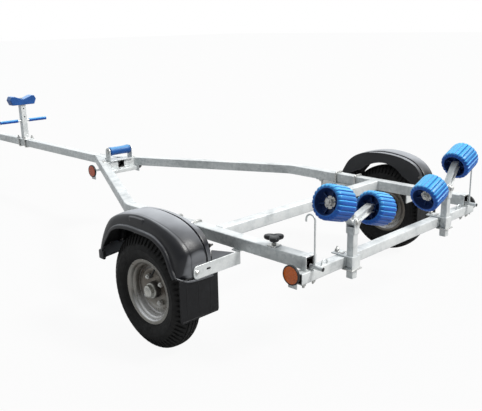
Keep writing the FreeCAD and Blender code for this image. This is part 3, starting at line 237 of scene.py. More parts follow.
def tube(shape, path, size, radius, cut=None, up=UP):
    """A square tube along a path, mitred at its bends; cut is the last end's plane."""
    path = [Vector(p) for p in path]
    ways = [(b - a).normalized() for a, b in zip(path, path[1:])]
    normals = ways[:1] + [(a + b).normalized() for a, b in zip(ways, ways[1:])]
    normals += [Vector(cut) if cut else ways[-1]]
    last, soft = len(path) - 1, 0.7

    def ring(k, loop, slide=0.0):
        way, normal = ways[min(k, last - 1)], normals[k]
        across = way.cross(Vector(up)).normalized()
        rise = across.cross(way).normalized()
        off = [across * p.x + rise * p.y for p in loop]
        return [path[k] + o + way * (slide - o.dot(normal) / way.dot(normal)) for o in off]

    outer, inner = square(size, radius), square(size - 2 * WALL, max(0.6, radius - WALL * 0.6))
    rows = [ring(0, inset(outer, soft)), ring(0, outer, soft)]
    rows += [ring(k, outer) for k in range(1, last)]
    rows += [ring(last, outer, -soft), ring(last, inset(outer, soft))]
    rows += [ring(last, inset(inner, -soft)), ring(last, inner, -soft)]
    rows += [ring(k, inner) for k in range(last - 1, 0, -1)]
    rows += [ring(0, inner, soft), ring(0, inset(inner, -soft))]
    shape.rows(rows, wrap=True, close=True)


def rod(shape, path, radius, count=16, wave=None):
    """A round bar along a path with round ends, or flat ones if wave gives its radius factor."""
    path = [Vector(p) for p in path]
    ways = [(b - a).normalized() for a, b in zip(path, path[1:])]
    tangents = [ways[0]] + [(a + b).normalized() for a, b in zip(ways, ways[1:])] + [ways[-1]]
    side = tangents[0].orthogonal().normalized()
    turns = [2 * pi * i / count for i in range(count)]
    rows = []
    for k, (p, t) in enumerate(zip(path, tangents)):
        side = (side - t * side.dot(t)).normalized()
        other = t.cross(side)
        r = radius * (wave(k) if wave else 1)
        rows.append([p + (side * cos(a) + other * sin(a)) * r for a in turns])

    def dome(end, t):
        return [[path[end] + (q - path[end]) * cos(a) + t * (radius * sin(a) * 0.6)
                 for q in rows[end]] for a in (0.6, 1.1)]

    if not wave:
        rows = dome(0, -tangents[0])[::-1] + rows + dome(-1, tangents[-1])
    shape.loft(rows)


def arc(middle, a, b, start, end, steps):
    """Points round part of a circle with axes a and b; angles in degrees."""
    turns = [radians(start + (end - start) * k / steps) for k in range(steps + 1)]
    return [Vector(middle) + Vector(a) * cos(t) + Vector(b) * sin(t) for t in turns]


def weld(shape, path, radius):
    """A weld bead with its ripples along a line."""
    path = [Vector(p) for p in path]
    fine = []
    for a, b in zip(path, path[1:]):
        steps = max(2, int((b - a).length / RIPPLE))
        fine += [a.lerp(b, k / steps) for k in range(steps)]
    rod(shape, fine + path[-1:], radius, 8, lambda k: 0.93 + 0.1 * sin(k * 1.7))


def weld_ring(shape, middle, radius, thick):
    weld(shape, arc(middle, (radius, 0, 0), (0, radius, 0), 0, 360, 16), thick)


def u_bolt(shape, x, ends, crown, foot):
    """A U-bolt's 10 mm bar, its bow at one height and its two threaded feet at another."""
    up = copysign(9, crown - foot)
    z = crown - up
    path = [Vector((x, ends[0], foot))]
    path += arc((x, ends[0] + 9, z), (0, -9, 0), (0, 0, up), 0, 90, 6)
    path += arc((x, ends[1] - 9, z), (0, 0, up), (0, 9, 0), 0, 90, 6)
    rod(shape, path + [Vector((x, ends[1], foot))], 5, 18)


def spline(points, steps):
    """Points on a smooth curve through the given ones."""
    points = [Vector(p) for p in (points[0], *points, points[-1])]
    out = []
    for a, b, c, d in zip(points, points[1:], points[2:], points[3:]):
        for i in range(steps):
            t = i / steps
            out.append(0.5 * ((2 * b) + (c - a) * t + (2 * a - 5 * b + 4 * c - d) * t * t
                              + (3 * b - a - 3 * c + d) * t * t * t))
    return out + points[-1:]


# ---------------------------------------------------------------- materials


class Nodes:
    """The node tree of a material or of the world."""

    def __init__(self, owner):
        owner.use_nodes = True
        self.tree = owner.node_tree

    def put(self, socket, value):
        """Give an input a number, a colour, a vector or another node's output."""
        if isinstance(value, bpy.types.NodeSocket):
            self.tree.links.new(value, socket)
        else:
            socket.default_value = (*value, 1) if socket.type == "RGBA" else value

    def node(self, kind, *inputs, **values):
        """A new node; its first inputs in order, and other inputs or attributes by name."""
        made = self.tree.nodes.new("ShaderNode" + kind)
        for key, value in values.items():
            if hasattr(made, key):
                setattr(made, key, value)
            else:
                self.put(made.inputs[key.replace("_", " ")], value)
        for socket, value in zip(made.inputs, inputs):
            self.put(socket, value)
        return made

    def math(self, operation, a, b=0.5):
        return self.node("Math", a, b, operation=operation).outputs[0]

    def dot(self, a, b):
        return self.node("VectorMath", a, b, operation="DOT_PRODUCT").outputs["Value"]

    def seen(self, output, share, unseen, seen):
        """Show the camera another shader than the one that lights the trailer."""
        mixed = self.node("MixShader", share, unseen.outputs[0], seen.outputs[0])
        self.put(self.tree.nodes[output].inputs["Surface"], mixed.outputs[0])


class Paint(Nodes):
    """A material in the making, in the object's own coordinates."""

    def __init__(self, name, slot):
        self.material = bpy.data.materials.new(name)
        super().__init__(self.material)
        self.where = self.node("TexCoord").outputs["Object"]
        self.normal = self.node("NewGeometry").outputs["Normal"]

    def noise(self, scale, detail=4.0, rough=0.55, vector=None):
        return self.node("TexNoise", Scale=scale, Detail=detail, Roughness=rough,
                         Vector=vector or self.where).outputs["Fac"]

    def cells(self, scale, output="Color", vector=None):
        made = self.node("TexVoronoi", Scale=scale, Vector=vector or self.where)
        return made.outputs[output]

    def ramp(self, source, *stops):
        """A ramp through stops of a place and a grey or a colour."""
        made = self.node("ValToRGB", source)
        items = made.color_ramp.elements
        while len(items) < len(stops):
            items.new(0.5)
        for item, (spot, colour) in zip(items, stops):
            item.position = spot
            item.color = (*(colour if isinstance(colour, tuple) else (colour,) * 3), 1)
        return made.outputs["Color"]

    def mix(self, fac, a, b, blend="MIX"):
        made = self.node("Mix", data_type="RGBA", blend_type=blend)
        for socket, value in ((0, fac), (6, a), (7, b)):
            self.put(made.inputs[socket], value)
        return made.outputs[2]

    def facing(self, *way):
        """1 on a face that looks along a direction, 0 on one at a right angle to it."""
        return self.dot(self.normal, way)

    def worn(self, tone, colour, low, high, most, width):
        """Another colour along outer edges."""
        bevel = self.node("Bevel", samples=4, Radius=width)
        edge = self.math("SUBTRACT", 1.0, self.dot(bevel.outputs["Normal"], self.normal))
        return self.mix(self.ramp(edge, (low, 0.0), (high, most)), tone, colour)

    def bump(self, height, strength, distance, **after):
        return self.node("Bump", Strength=strength, Distance=distance, Height=height,
                         **after).outputs["Normal"]

    def finish(self, colour, rough, normal, **values):
        shader = self.tree.nodes["Principled BSDF"]
        for key, value in dict(Base_Color=colour, Roughness=rough, Normal=normal, **values).items():
            self.put(shader.inputs[key.replace("_", " ")], value)
        return self.material


def times(colour, factor):
    return tuple(c * factor for c in colour)


def galvanised(name, spangle=85.0, metal=0.45, turn=(0, 0, 0)):
    """Hot-dip zinc: crystal spangle, duller patches, patchy white bloom mixed with painted light on faces turned
    to the sun, and fine pitting.
    """
    p = Paint(name, "galvanised_steel")
    turned = p.node("Mapping", Vector=p.where, Rotation=turn).outputs["Vector"]
    grey = p.math("MULTIPLY", p.cells(spangle, vector=turned), 1.0)
    flake = p.ramp(grey, (0.0, (0.52, 0.56, 0.57)), (0.45, (0.61, 0.645, 0.652)),
                   (1.0, (0.71, 0.738, 0.742)))
    patch = p.ramp(p.noise(6.0, 5.0, 0.6, turned), (0.34, 0.78), (0.5, 0.95), (0.68, 1.0))
    colour = p.mix(1.0, flake, patch, "MULTIPLY")
    stain = p.ramp(p.noise(16.0, 6.0, 0.65), (0.6, 0.0), (0.78, 0.5))
    colour = p.mix(stain, colour, (0.47, 0.48, 0.46))
    # white bloom in patches, strongest on faces turned towards the sun: partly zinc bloom, partly painted light
    bloom_and_painted_light = p.ramp(p.facing(-0.75, -0.15, 0.65), (0.3, 0.0), (0.6, 0.75), (0.9, 0.9))
    bloom_and_painted_light = p.math("MULTIPLY", bloom_and_painted_light, p.ramp(p.noise(12.0, 6.0, 0.65), (0.36, 0.35), (0.56, 1.0)))
    colour = p.mix(bloom_and_painted_light, colour, (0.86, 0.875, 0.87))
    colour = p.worn(colour, (0.8, 0.81, 0.8), 0.04, 0.3, 0.55, 0.002)
    rough = p.ramp(p.noise(40.0, 3.0, 0.5), (0.3, 0.36), (0.7, 0.52))
    grain = p.bump(p.noise(420.0, 2.0, 0.6), 0.12, 0.0004)
    return p.finish(colour, rough, p.bump(grey, 0.06, 0.0004, Normal=grain), Metallic=metal)


def zinc(name, base=(0.68, 0.68, 0.66), metal=0.75):
    """Bright plated bolts and nuts."""
    p = Paint(name, "galvanised_steel")
    tone = p.ramp(p.noise(90.0, 3.0), (0.3, times(base, 0.8)), (0.7, base))
    tone = p.worn(tone, (0.85, 0.85, 0.84), 0.05, 0.3, 0.6, 0.0008)
    rough = p.ramp(p.noise(160.0, 2.0), (0.3, 0.24), (0.7, 0.38))
    return p.finish(tone, rough, p.bump(p.noise(600.0, 2.0), 0.06, 0.0002), Metallic=metal)


def rubber(name):
    """Tyre rubber with fine grain and a little road dust in patches."""
    p = Paint(name, "tyre_rubber")
    tone = p.ramp(p.noise(24.0, 5.0), (0.3, 0.0085 * 0.75), (0.7, 0.0085 * 1.3))
    overlay_mask = p.ramp(p.noise(7.0, 6.0, 0.7), (0.5, 0.0), (0.75, 0.3))
    tone = p.mix(overlay_mask, tone, (0.022, 0.02046, 0.01848))
    tone = p.worn(tone, (0.028, 0.028, 0.028), 0.05, 0.35, 0.35, 0.0015)
    rough = p.ramp(p.noise(60.0, 4.0), (0.3, 0.58), (0.7, 0.8))
    grain = p.bump(p.noise(500.0, 3.0, 0.7), 0.35, 0.0004)
    return p.finish(tone, rough, grain, Metallic=0.0, Specular_IOR_Level=0.28)


def wheel_paint(name):
    """Silver wheel enamel: painted shade in warm dark brown deep in the rim and towards its top, patches of brown
    dirt, and painted light on faces that look up.
    """
    p = Paint(name, "silver_paint")
    tone = p.ramp(p.noise(14.0, 5.0), (0.3, (0.23, 0.222, 0.200)), (0.7, (0.36, 0.352, 0.330)))
    # painted shade: warm dark brown the deeper inside the rim and the higher up, broken up by noise
    split = p.node("SeparateXYZ", p.where).outputs
    high = p.math("MULTIPLY", p.math("SUBTRACT", split["Z"], 0.215), 5.0)
    deep = p.math("SUBTRACT", 0.846, p.math("ABSOLUTE", split["Y"]))
    deep = p.math("ADD", p.math("MULTIPLY", deep, 24.0), high)
    overlay_mask = p.math("MULTIPLY", p.ramp(deep, (0.0, 0.0), (0.9, 0.8)),
                  p.ramp(p.noise(9.0, 6.0, 0.7), (0.3, 0.55), (0.6, 1.0)))
    tone = p.mix(overlay_mask, tone, (0.125, 0.105, 0.085))
    dirt = p.ramp(p.noise(13.0, 6.0, 0.7), (0.5, 0.0), (0.74, 0.5))
    tone = p.mix(dirt, tone, (0.20, 0.14, 0.105))
    # painted light: faces that look up turn near white
    tone = p.mix(p.ramp(p.facing(*UP), (0.25, 0.0), (0.8, 0.95)), tone, (0.92, 0.92, 0.93))
    tone = p.worn(tone, (0.75, 0.75, 0.74), 0.05, 0.3, 0.6, 0.0015)
    rough = p.ramp(p.noise(50.0, 3.0), (0.3, 0.24), (0.7, 0.42))
    return p.finish(tone, rough, p.bump(p.noise(300.0, 2.0), 0.1, 0.0003), Metallic=0.62)


def plastic(name, base=(0.0060, 0.0063, 0.0075), low=0.30, high=0.44, grain=0.2, painted_light_tone=None,
            sheen=0.5):
    """Moulded black plastic: leathery grain, scuffs, dust, and, when a tone is given, painted sheen and light on
    faces that look up and on faces that look straight back.
    """
    p = Paint(name, "black_plastic")
    tone = p.ramp(p.noise(11.0, 5.0), (0.3, times(base, 0.8)), (0.7, times(base, 1.25)))
    dust = p.ramp(p.noise(5.0, 6.0, 0.68), (0.48, 0.0), (0.8, 0.35))
    tone = p.mix(dust, tone, (0.030, 0.032, 0.036))
    tone = p.worn(tone, (0.05, 0.05, 0.054), 0.05, 0.35, 0.4, 0.0018)
    if painted_light_tone:
        # painted sheen and light: most where the face looks up, and some where it looks straight back
        sun = p.ramp(p.facing(0.1, -0.35, 0.93), (0.42, 0.0), (0.5, 0.07), (0.6, 0.2), (0.7, 0.33),
                     (0.82, 0.74), (0.92, 1.0))
        sun = p.math("MAXIMUM", sun, p.ramp(p.facing(*BACK), (0.93, 0.0), (0.99, 0.36)))
        painted_light_patches = p.ramp(p.noise(9.0, 5.0, 0.6), (0.3, 0.75), (0.7, 1.0))
        tone = p.mix(p.math("MULTIPLY", sun, painted_light_patches), tone, painted_light_tone)
    rough = p.ramp(p.noise(30.0, 4.0), (0.3, low), (0.7, high))
    return p.finish(tone, rough, p.bump(p.cells(520.0, "Distance"), grain, 0.0003), Metallic=0.0,
                    Specular_IOR_Level=sheen)


def blue(name, base=(0.0045, 0.085, 0.41), painted_light_tone=(0.11, 0.56, 0.96), low=0.30, high=0.44):
    """Moulded blue rubber with faint flow marks, rub marks on its ridges, and painted light on faces that look up.
    """
    p = Paint(name, "blue_rubber")
    tone = p.ramp(p.noise(20.0, 5.0), (0.3, times(base, 0.82)), (0.7, times(base, 1.12)))
    tone = p.worn(tone, (0.06, 0.32, 0.82), 0.04, 0.3, 0.5, 0.0015)
    scuff = p.ramp(p.noise(45.0, 6.0, 0.75), (0.66, 0.0), (0.8, 0.35))
    tone = p.mix(scuff, tone, (0.08, 0.22, 0.52))
    if painted_light_tone:
        # painted light: faces that look up turn a lighter, brighter blue
        sun = p.ramp(p.facing(*UP), (0.15, 0.0), (0.5, 0.3), (0.85, 1.0))
        painted_light_patches = p.ramp(p.noise(16.0, 5.0, 0.6), (0.3, 0.8), (0.7, 1.0))
        tone = p.mix(p.math("MULTIPLY", sun, painted_light_patches), tone, painted_light_tone)
    rough = p.ramp(p.noise(55.0, 3.0), (0.3, low), (0.7, high))
    return p.finish(tone, rough, p.bump(p.noise(350.0, 2.0), 0.12, 0.0003), Metallic=0.0,
                    Specular_IOR_Level=0.35)


def amber(name, base):
    """A reflector's lens: prism cells under a clear face."""
    p = Paint(name, "amber_plastic")
    ridge = p.cells(230.0, "Distance")
    tone = p.mix(p.ramp(p.cells(230.0), (0.2, 0.0), (0.9, 0.55)), base, times(base, 0.45))
    tone = p.mix(p.ramp(p.noise(30.0, 3.0), (0.4, 0.0), (0.8, 0.3)), tone, (0.35, 0.05, 0.01))
    return p.finish(tone, p.ramp(ridge, (0.0, 0.12), (0.6, 0.3)), p.bump(ridge, 0.5, 0.0006),
                    Metallic=0.0, Coat_Weight=0.22, Coat_Roughness=0.05)


GALV = galvanised("galvanised_steel")
GALV_FINE = galvanised("galvanised_plate", 120.0, 0.5, (0.3, 0.7, 0.2))
ZINC = zinc("plated_fasteners")
DARK_STEEL = zinc("dark_hub_steel", (0.10, 0.095, 0.09), 0.6)
CAP_STEEL = zinc("bright_dust_cap", (0.62, 0.62, 0.58), 0.8)
RUBBER = rubber("tyre_rubber")
SILVER = wheel_paint("silver_wheel_paint")
BLACK = plastic("black_plastic")
# painted sheen and light in a lighter grey on faces that look up and straight back
MOULD = plastic("black_plastic_painted_sheen", (0.0092, 0.0098, 0.0128), 0.33, 0.46,
                painted_light_tone=(0.40, 0.415, 0.445))
# painted shade: a darker, duller copy of the moulding's plastic for faces under the arch and on the inboard side
MOULD_INNER = plastic("shaded_black_plastic", (0.0055, 0.006, 0.0072), 0.5, 0.65, sheen=0.25)
FLAP = plastic("flap_black_plastic", (0.0040, 0.0042, 0.0052), 0.45, 0.6, sheen=0.3)
CAP_BLACK = plastic("black_cap_plastic", (0.012, 0.012, 0.013), 0.4, 0.6, 0.12)
BLUE = blue("blue_rubber")
# painted shade: a dark copy of the blue rubber for the hollow roller ends
BLUE_SHADED = blue("blue_rubber_painted_shade", (0.003, 0.022, 0.11), None, 0.45, 0.6)
# both also carry painted light on faces that look up
SNUB = blue("weathered_blue_rubber_painted_light", (0.016, 0.085, 0.30), (0.26, 0.46, 0.80))
KEEL = blue("worn_blue_rubber_painted_light", (0.012, 0.09, 0.33), (0.13, 0.36, 0.66))
AMBER = amber("amber_lens", (0.62, 0.125, 0.006))
RED_AMBER = amber("weathered_amber_lens", (0.55, 0.085, 0.02))


# ---------------------------------------------------------------- pieces

def smooth(thing, angle=32):
    thing.data.polygons.foreach_set("use_smooth", [True] * len(thing.data.polygons))
    thing.data.set_sharp_from_angle(angle=radians(angle))


def linked(name, bm):
    """A new object in the scene, with a bmesh's shape."""
    mesh = bpy.data.meshes.new(name)
    bm.to_mesh(mesh)
    bm.free()
    thing = bpy.data.objects.new(name, mesh)
    bpy.context.scene.collection.objects.link(thing)
    return thing


def made(name, shape):
    """A new object with a shape's mesh."""
    mesh = bpy.data.meshes.new("points")
    mesh.from_pydata([tuple(p * MM) for p in shape.points], [], shape.faces)
    mesh.polygons.foreach_set("material_index", shape.kinds)
    bm = bmesh.new()
    bm.from_mesh(mesh)
    bpy.data.meshes.remove(mesh)
    bmesh.ops.remove_doubles(bm, verts=bm.verts, dist=1e-6)
    bmesh.ops.recalc_face_normals(bm, faces=bm.faces)
    return linked(name, bm)


def ride(thing, looks, nodes, body="chassis"):
    """Give an object its materials and body, and hide the CAD nodes that it stands for."""
    looks = looks if isinstance(looks, list) else [looks]
    for material in looks:
        thing.data.materials.append(material)
    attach(thing, body)
    if nodes:
        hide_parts(*nodes)
    return thing


def piece(name, shape, looks, *nodes, body="chassis", angle=32):
    """Make an object from a shape."""
    thing = made(name, shape)
    smooth(thing, angle)
    return ride(thing, looks, nodes, body)


def cad_mesh(node, whole=True):
    """A CAD node's mesh as a bmesh, with its flat faces whole again."""
    bm = bmesh.new()
    bm.from_mesh(frame["nodes"][node].data)
    bmesh.ops.remove_doubles(bm, verts=bm.verts, dist=1e-5)
    if whole:
        bmesh.ops.dissolve_limit(bm, angle_limit=radians(1), verts=bm.verts, edges=bm.edges)
        bmesh.ops.recalc_face_normals(bm, faces=bm.faces)
    return bm


def eased(node, width, segments=2, body="chassis"):
    """A galvanised plate or bracket: the CAD node's shape with its edges rounded over."""
    bm = cad_mesh(node)
    edges = [e for e in bm.edges if len(e.link_faces) == 2 and e.calc_face_angle(0) > radians(38)]
    bmesh.ops.bevel(bm, geom=edges, offset=width * MM, segments=segments, profile=0.5,
                    affect="EDGES", clamp_overlap=True, loop_slide=True)
    thing = linked(node + "_eased", bm)
    smooth(thing, 30)
    return ride(thing, GALV_FINE, [node], body)


def modified(thing, kind, **values):
    """Apply a modifier to an object's mesh."""
    modifier = thing.modifiers.new(kind, kind)
    for key, value in values.items():
        setattr(modifier, key, value)
    graph = bpy.context.evaluated_depsgraph_get()
    old, thing.data = thing.data, bpy.data.meshes.new_from_object(thing.evaluated_get(graph))
    thing.modifiers.clear()
    bpy.data.meshes.remove(old)


def combined(thing, other, operation):
    """Join another object's solid to a piece's, or cut it out."""
    modified(thing, "BOOLEAN", operation=operation, solver="EXACT", object=other)
    bpy.data.meshes.remove(other.data)


def cad_copy(node, name):
    """A new object with a CAD node's shape in triangles."""
    bm = cad_mesh(node)
    bmesh.ops.triangulate(bm, faces=bm.faces)
    return linked(name, bm)


def cast(voxel, passes, *nodes, looks=GALV_FINE):
    """CAD nodes as one casting or moulding, its edges and corners flowed together."""
    thing = cad_copy(nodes[0], nodes[0] + "_cast")
    for node in nodes[1:]:
        combined(thing, cad_copy(node, "joined"), "UNION")
    modified(thing, "REMESH", mode="VOXEL", voxel_size=voxel * MM)
    modified(thing, "SMOOTH", factor=0.5, iterations=passes)
    thing.data.polygons.foreach_set("use_smooth", [True] * len(thing.data.polygons))
    ride(thing, looks, nodes)


def carved(thing, cutters):
    """Cut shapes out of a piece."""
    for cutter in cutters:
        combined(thing, made("cutter", cutter), "DIFFERENCE")
    smooth(thing)


def bored(thing, places, radius):
    """Cut round holes right through a piece."""
    cutters = [Shape() for _ in places]
    for cutter, place in zip(cutters, places):
        disc(cutter, place, radius, -200, 200, soft=0.1, count=28)
    carved(thing, cutters)


def islands(node):
    """Lowest corner, highest corner and middle of each separate solid of a CAD node."""
    bm = cad_mesh(node, whole=False)
    left = set(bm.verts)
    out = []
    while left:
        stack, group = [left.pop()], []
        while stack:
            v = stack.pop()
            group.append(v.co / MM)
            for o in {e.other_vert(v) for e in v.link_edges} & left:
                left.remove(o)
                stack.append(o)
        low, high = [Vector([pick(c[i] for c in group) for i in range(3)]) for pick in (min, max)]
        out.append((low, high, (low + high) / 2))
    bm.free()
    return sorted(out, key=lambda solid: (round(solid[0].y, 1), round(solid[0].x, 1)))


# ---------------------------------------------------------------- frame tubes

def rails():
    half, ease = RAIL / 2, 30
    for name, side in SIDES:
        way = Vector((cos(BEND_ANGLE), -sin(BEND_ANGLE) * side, 0))
        corner = Vector((BEND - half * tan(BEND_ANGLE / 2), (OUTER - half) * side, (TOP + LOW) / 2))
        start, stop = corner - Vector((ease, 0, 0)), corner + way * ease
        turns = [k / 6 for k in range(7)]
        bend = [start.lerp(corner, t).lerp(corner.lerp(stop, t), t) for t in turns]
        end = corner + way * ((abs(corner.y) - half) / sin(BEND_ANGLE))
        shape = Shape()
        tube(shape, [(REAR, corner.y, corner.z)] + bend + [end], RAIL, 5, (0, side, 0))
        piece(name + "_rail_tube", shape, GALV, name + "_side_rail")


def straight_tube(name, node, along, radius=5):
    low, high = box(node)
    a, b = (low + high) / 2, (low + high) / 2
    a[along], b[along] = low[along], high[along]
    shape = Shape()
    tube(shape, [a, b], min(high - low), radius, up=AHEAD if along == 2 else UP)
    return piece(name, shape, GALV, node)


def frame_tubes():
    rails()
    straight_tube("drawbar_tube", "drawbar", 0)
    straight_tube("cross_member_tube", "cross_member", 1)
    straight_tube("crossbeam_tube", "rear_crossbeam", 1, 4)
    beads = Shape()
    nose = DRAW[0].x + (box("nose_gussets")[1].y - RAIL / 2) / tan(BEND_ANGLE) * 0.98
    for side in (1, -1):
        y = CROSS[1].y * side
        for x in (CROSS[0].x, CROSS[1].x):
            weld(beads, [(x, y, LOW + 5), (x, y, TOP - 5)], 2.6)
        for z in (TOP - 1, LOW + 1):
            weld(beads, [(CROSS[0].x + 5, y, z), (CROSS[1].x - 5, y, z)], 2.4)
        weld(beads, [(x, side * RAIL / 2, TOP - 0.5) for x in (nose + 50, nose + 130)], 2.2)
    piece("frame_welds", beads, GALV_FINE)


def end_caps():
    """Black plugs with a raised rim and a shallow dish, one in each open tube end."""
    shape = Shape()
    for low, high, middle in islands("frame_end_caps"):
        size = high - low
        along = min(range(3), key=lambda k: size[k])
        out = Vector((0, 0, 0))
        out[along] = -1 if along == 0 or middle[along] < 0 else 1
        place = at(middle, out, UP)
        loop = square(max(size) - 0.6, 3)
        top = size[along] / 2
        shape.loft([[place @ Vector((q.x, q.y, z)) for q in inset(loop, depth)] for z, depth in (
            (-top, 0.4), (top - 0.6, 0), (top, 0.6), (top, 4), (top - 1.6, 6), (top - 1.6, 12),
            (top - 0.4, 15))])
    piece("tube_end_plugs", shape, CAP_BLACK, "frame_end_caps")


# ---------------------------------------------------------------- wheels

# offset from the tyre's middle, radius, how deep the tread's grooves cut
TYRE = (
    (40, 121, 0), (40.5, 127, 0), (42, 133, 0), (44.5, 138, 0), (48.5, 141.5, 0), (52, 145, 0),
    (54, 149, 0), (55.5, 150, 0), (57.6, 154, 0), (60, 161, 0), (61.6, 168, 0), (62, 174, 0),
    (62.5, 175.5, 0), (62.6, 177.5, 0), (61.6, 179, 0), (60.7, 184, 0), (58.4, 189.5, 0),
    (55.4, 195.5, 0.15), (52.2, 201, 0.6), (48.8, 206.5, 1), (45.2, 212.5, 1), (41.4, 218.5, 1),
    (37.3, 224, 1), (33, 229, 1), (28.6, 232.6, 0.9), (25.5, 234.4, 0.3), (24.9, 229.5, 0),
    (21.6, 230.4, 0), (21, 236.2, 0.3), (15, 237.2, 0.35), (9.4, 237.8, 0.3), (8.8, 232.4, 0),
    (5.4, 232.6, 0), (4.8, 238, 0.2), (0, 238, 0.25))
# offset and radius round a wheel's rim: first the outboard half, then the inboard half
RIM_FRONT = (
    (2, 33.5), (2, 43), (1.6, 52), (1.8, 68), (4.5, 74), (6.8, 80), (7, 85), (4.5, 90), (0.5, 94),
    (-2.5, 97), (-3.6, 99.4), (-2.6, 101.4), (0, 102.6), (6, 103.2), (9, 104.6), (10.6, 107.4),
    (11.6, 111), (13.4, 113.6), (16.5, 114.6), (25, 115.2), (28.6, 116.4), (30.4, 119),
    (31.6, 123), (34, 125.8), (37.6, 127.2), (40, 128.6), (41, 130.4), (41.8, 132.2), (42.8, 133),
    (43.4, 132.6), (43.4, 131), (42.8, 129.6))
RIM_BACK = (
    (42.4, 122), (40.8, 118.6), (36, 115.6), (30, 113.6), (28, 108), (24, 104.4), (10, 103),
    (-14, 103.5), (-26, 107), (-30, 112.5), (-33, 116), (-37.5, 117.5), (-39.6, 119.5),
    (-40.2, 128), (-41, 132), (-42.2, 133), (-43, 132), (-43, 128), (-42.6, 119), (-40, 115.6),
    (-34, 113.8), (-31.5, 110.5), (-28, 104.5), (-14, 100.5), (-7, 99), (-6.2, 95), (-3.5, 91.5),
    (0.5, 87.5), (2.6, 83.5), (2.8, 80), (1.2, 76), (-1.4, 70.5), (-2.3, 64), (-2.2, 45),
    (-2.2, 33.5))
# along and radius of the hub, and of its dust cap
HUB = ((-42, 34), (-16, 40), (-14.5, 62.5), (-13, 64), (-5.5, 64), (-4, 62.5), (-4, 32.8),
       (0, 33.5), (2, 34.2), (20, 33.6), (21, 32.8), (21, 12.7))
DUST_CAP = ((20.6, 0), (20.6, 30.3), (21.6, 30.8), (24.5, 30.8), (25.6, 29.8), (26, 26.2),
            (28, 25.4), (37.5, 25), (40.3, 24), (41.9, 21.8), (42.5, 19), (42.1, 16), (41.3, 14),
            (41.1, 0))


def mirrored(profile):
    """A profile and its mirror image past its last point."""
    return [*profile] + [(-p[0], *p[1:]) for p in profile[-2::-1]]


def tyre(name, side):
    """A tyre with shoulder lugs, grooved ribs and stepped sidewalls."""
    low, high = box(name + "_tyre")
    middle = Vector((AXLE.x, (low.y + high.y) / 2, AXLE.z))
    lugs, per_lug = 60, 12
    rows = []
    for k in range(lugs * per_lug):
        a = 2 * pi * k / (lugs * per_lug)
        row = []
        for y, r, cut in mirrored(TYRE):
            lug = k / per_lug
            if abs(y) < 27:
                drop = 4.2 * cut if (lug + y / 27 * 0.25) % 1 < 0.17 else 0
            else:
                drop = 5.2 * cut if (lug + (0.5 if y < 0 else 0)) % 1 < 0.34 else 0
            inward = drop * min(1, max(0, (abs(y) - 30) / 18)) * 0.75
            row.append((y - copysign(inward, y), r - drop))
        row += [(-35, 121.4), (0, 121.4), (35, 121.4)]
        rows.append([middle + Vector((r * sin(a), y * side, r * cos(a))) for y, r in row])
    shape = Shape()
    shape.rows(rows, wrap=True, close=True)
    piece(name + "_road_tyre", shape, RUBBER, name + "_tyre", body=name + "_road_wheel", angle=28)


def wheel_rim(name, side):
    """A pressed steel rim with a curled flange, stepped barrel and dished disc."""
    low, high = box(name + "_wheel_rim")
    shape = Shape()
    lathe(shape, at((AXLE.x, (low.y + high.y) / 2, AXLE.z), (0, side, 0)), RIM_FRONT + RIM_BACK,
          144, closed=True)
    piece(name + "_rim_pressing", shape, SILVER, name + "_wheel_rim", body=name + "_road_wheel",
          angle=42)


def wheel_hub(name, side):
    body, node = name + "_road_wheel", name + "_hub"
    face = AXLE.y + 2
    place = at((AXLE.x, face * side, AXLE.z), (0, side, 0))
    back = box(node)[0].y - face if side > 0 else -box(node)[1].y - face
    shape = Shape()
    lathe(shape, place, ((back, 12.7), (back, 33), (back + 1.5, 34), *HUB), 64, closed=True)
    shape.kind = 1
    lathe(shape, place, DUST_CAP, 56)
    piece(name + "_wheel_hub", shape, [DARK_STEEL, CAP_STEEL], node, body=body)
    nuts = Shape()
    for k in range(4):
        a = radians(36 + 90 * k)
        stud = at(place @ Vector((57.5 * cos(a), 57.5 * sin(a), 0)), (0, side, 0),
                  (cos(a), 0, sin(a)))
        lathe(nuts, stud, [(0, 0), (0, 8.8), (5, 10.5), (5.4, 0)], 24)
        hexagon(nuts, stud, 10.9, 4.4, 15)
        thread(nuts, stud, 6, 14.5, 20)
    piece(name + "_wheel_nuts", nuts, ZINC, body=body)
    valve = Shape()
    a = radians(-14)
    root, tip = [place @ Vector((r * cos(a), r * sin(a), z)) for r, z in ((107, 11), (64, 34))]
    long = (tip - root).length
    lathe(valve, at(root, tip - root), [
        (0, 0), (0, 7), (7, 6), (11, 4.2), (long - 13, 4), (long - 12.6, 4.7), (long - 1, 4.6),
        (long, 3.6), (long, 0)], 20)
    piece(name + "_valve", valve, CAP_BLACK, body=body)


def wheels():
    for name, side in SIDES:
        tyre(name, side)
        wheel_rim(name, side)
        wheel_hub(name, side)
    for name, _ in SIDES:
        eased(name + "_suspension_unit", 2.5, 3)
        cast(1.6, 6, name + "_suspension_arm")
    bolts = Shape()
    for low, high, middle in islands("suspension_u_bolts"):
        ends = (low.y + 5, high.y - 5)
        u_bolt(bolts, middle.x, ends, high.z - 5, low.z - 26)
        for y in ends:
            nut(bolts, at((middle.x, y, low.z - 6), DOWN), 10, 9)
    piece("suspension_bolts", bolts, ZINC, "suspension_u_bolts")


# ---------------------------------------------------------------- mudguards

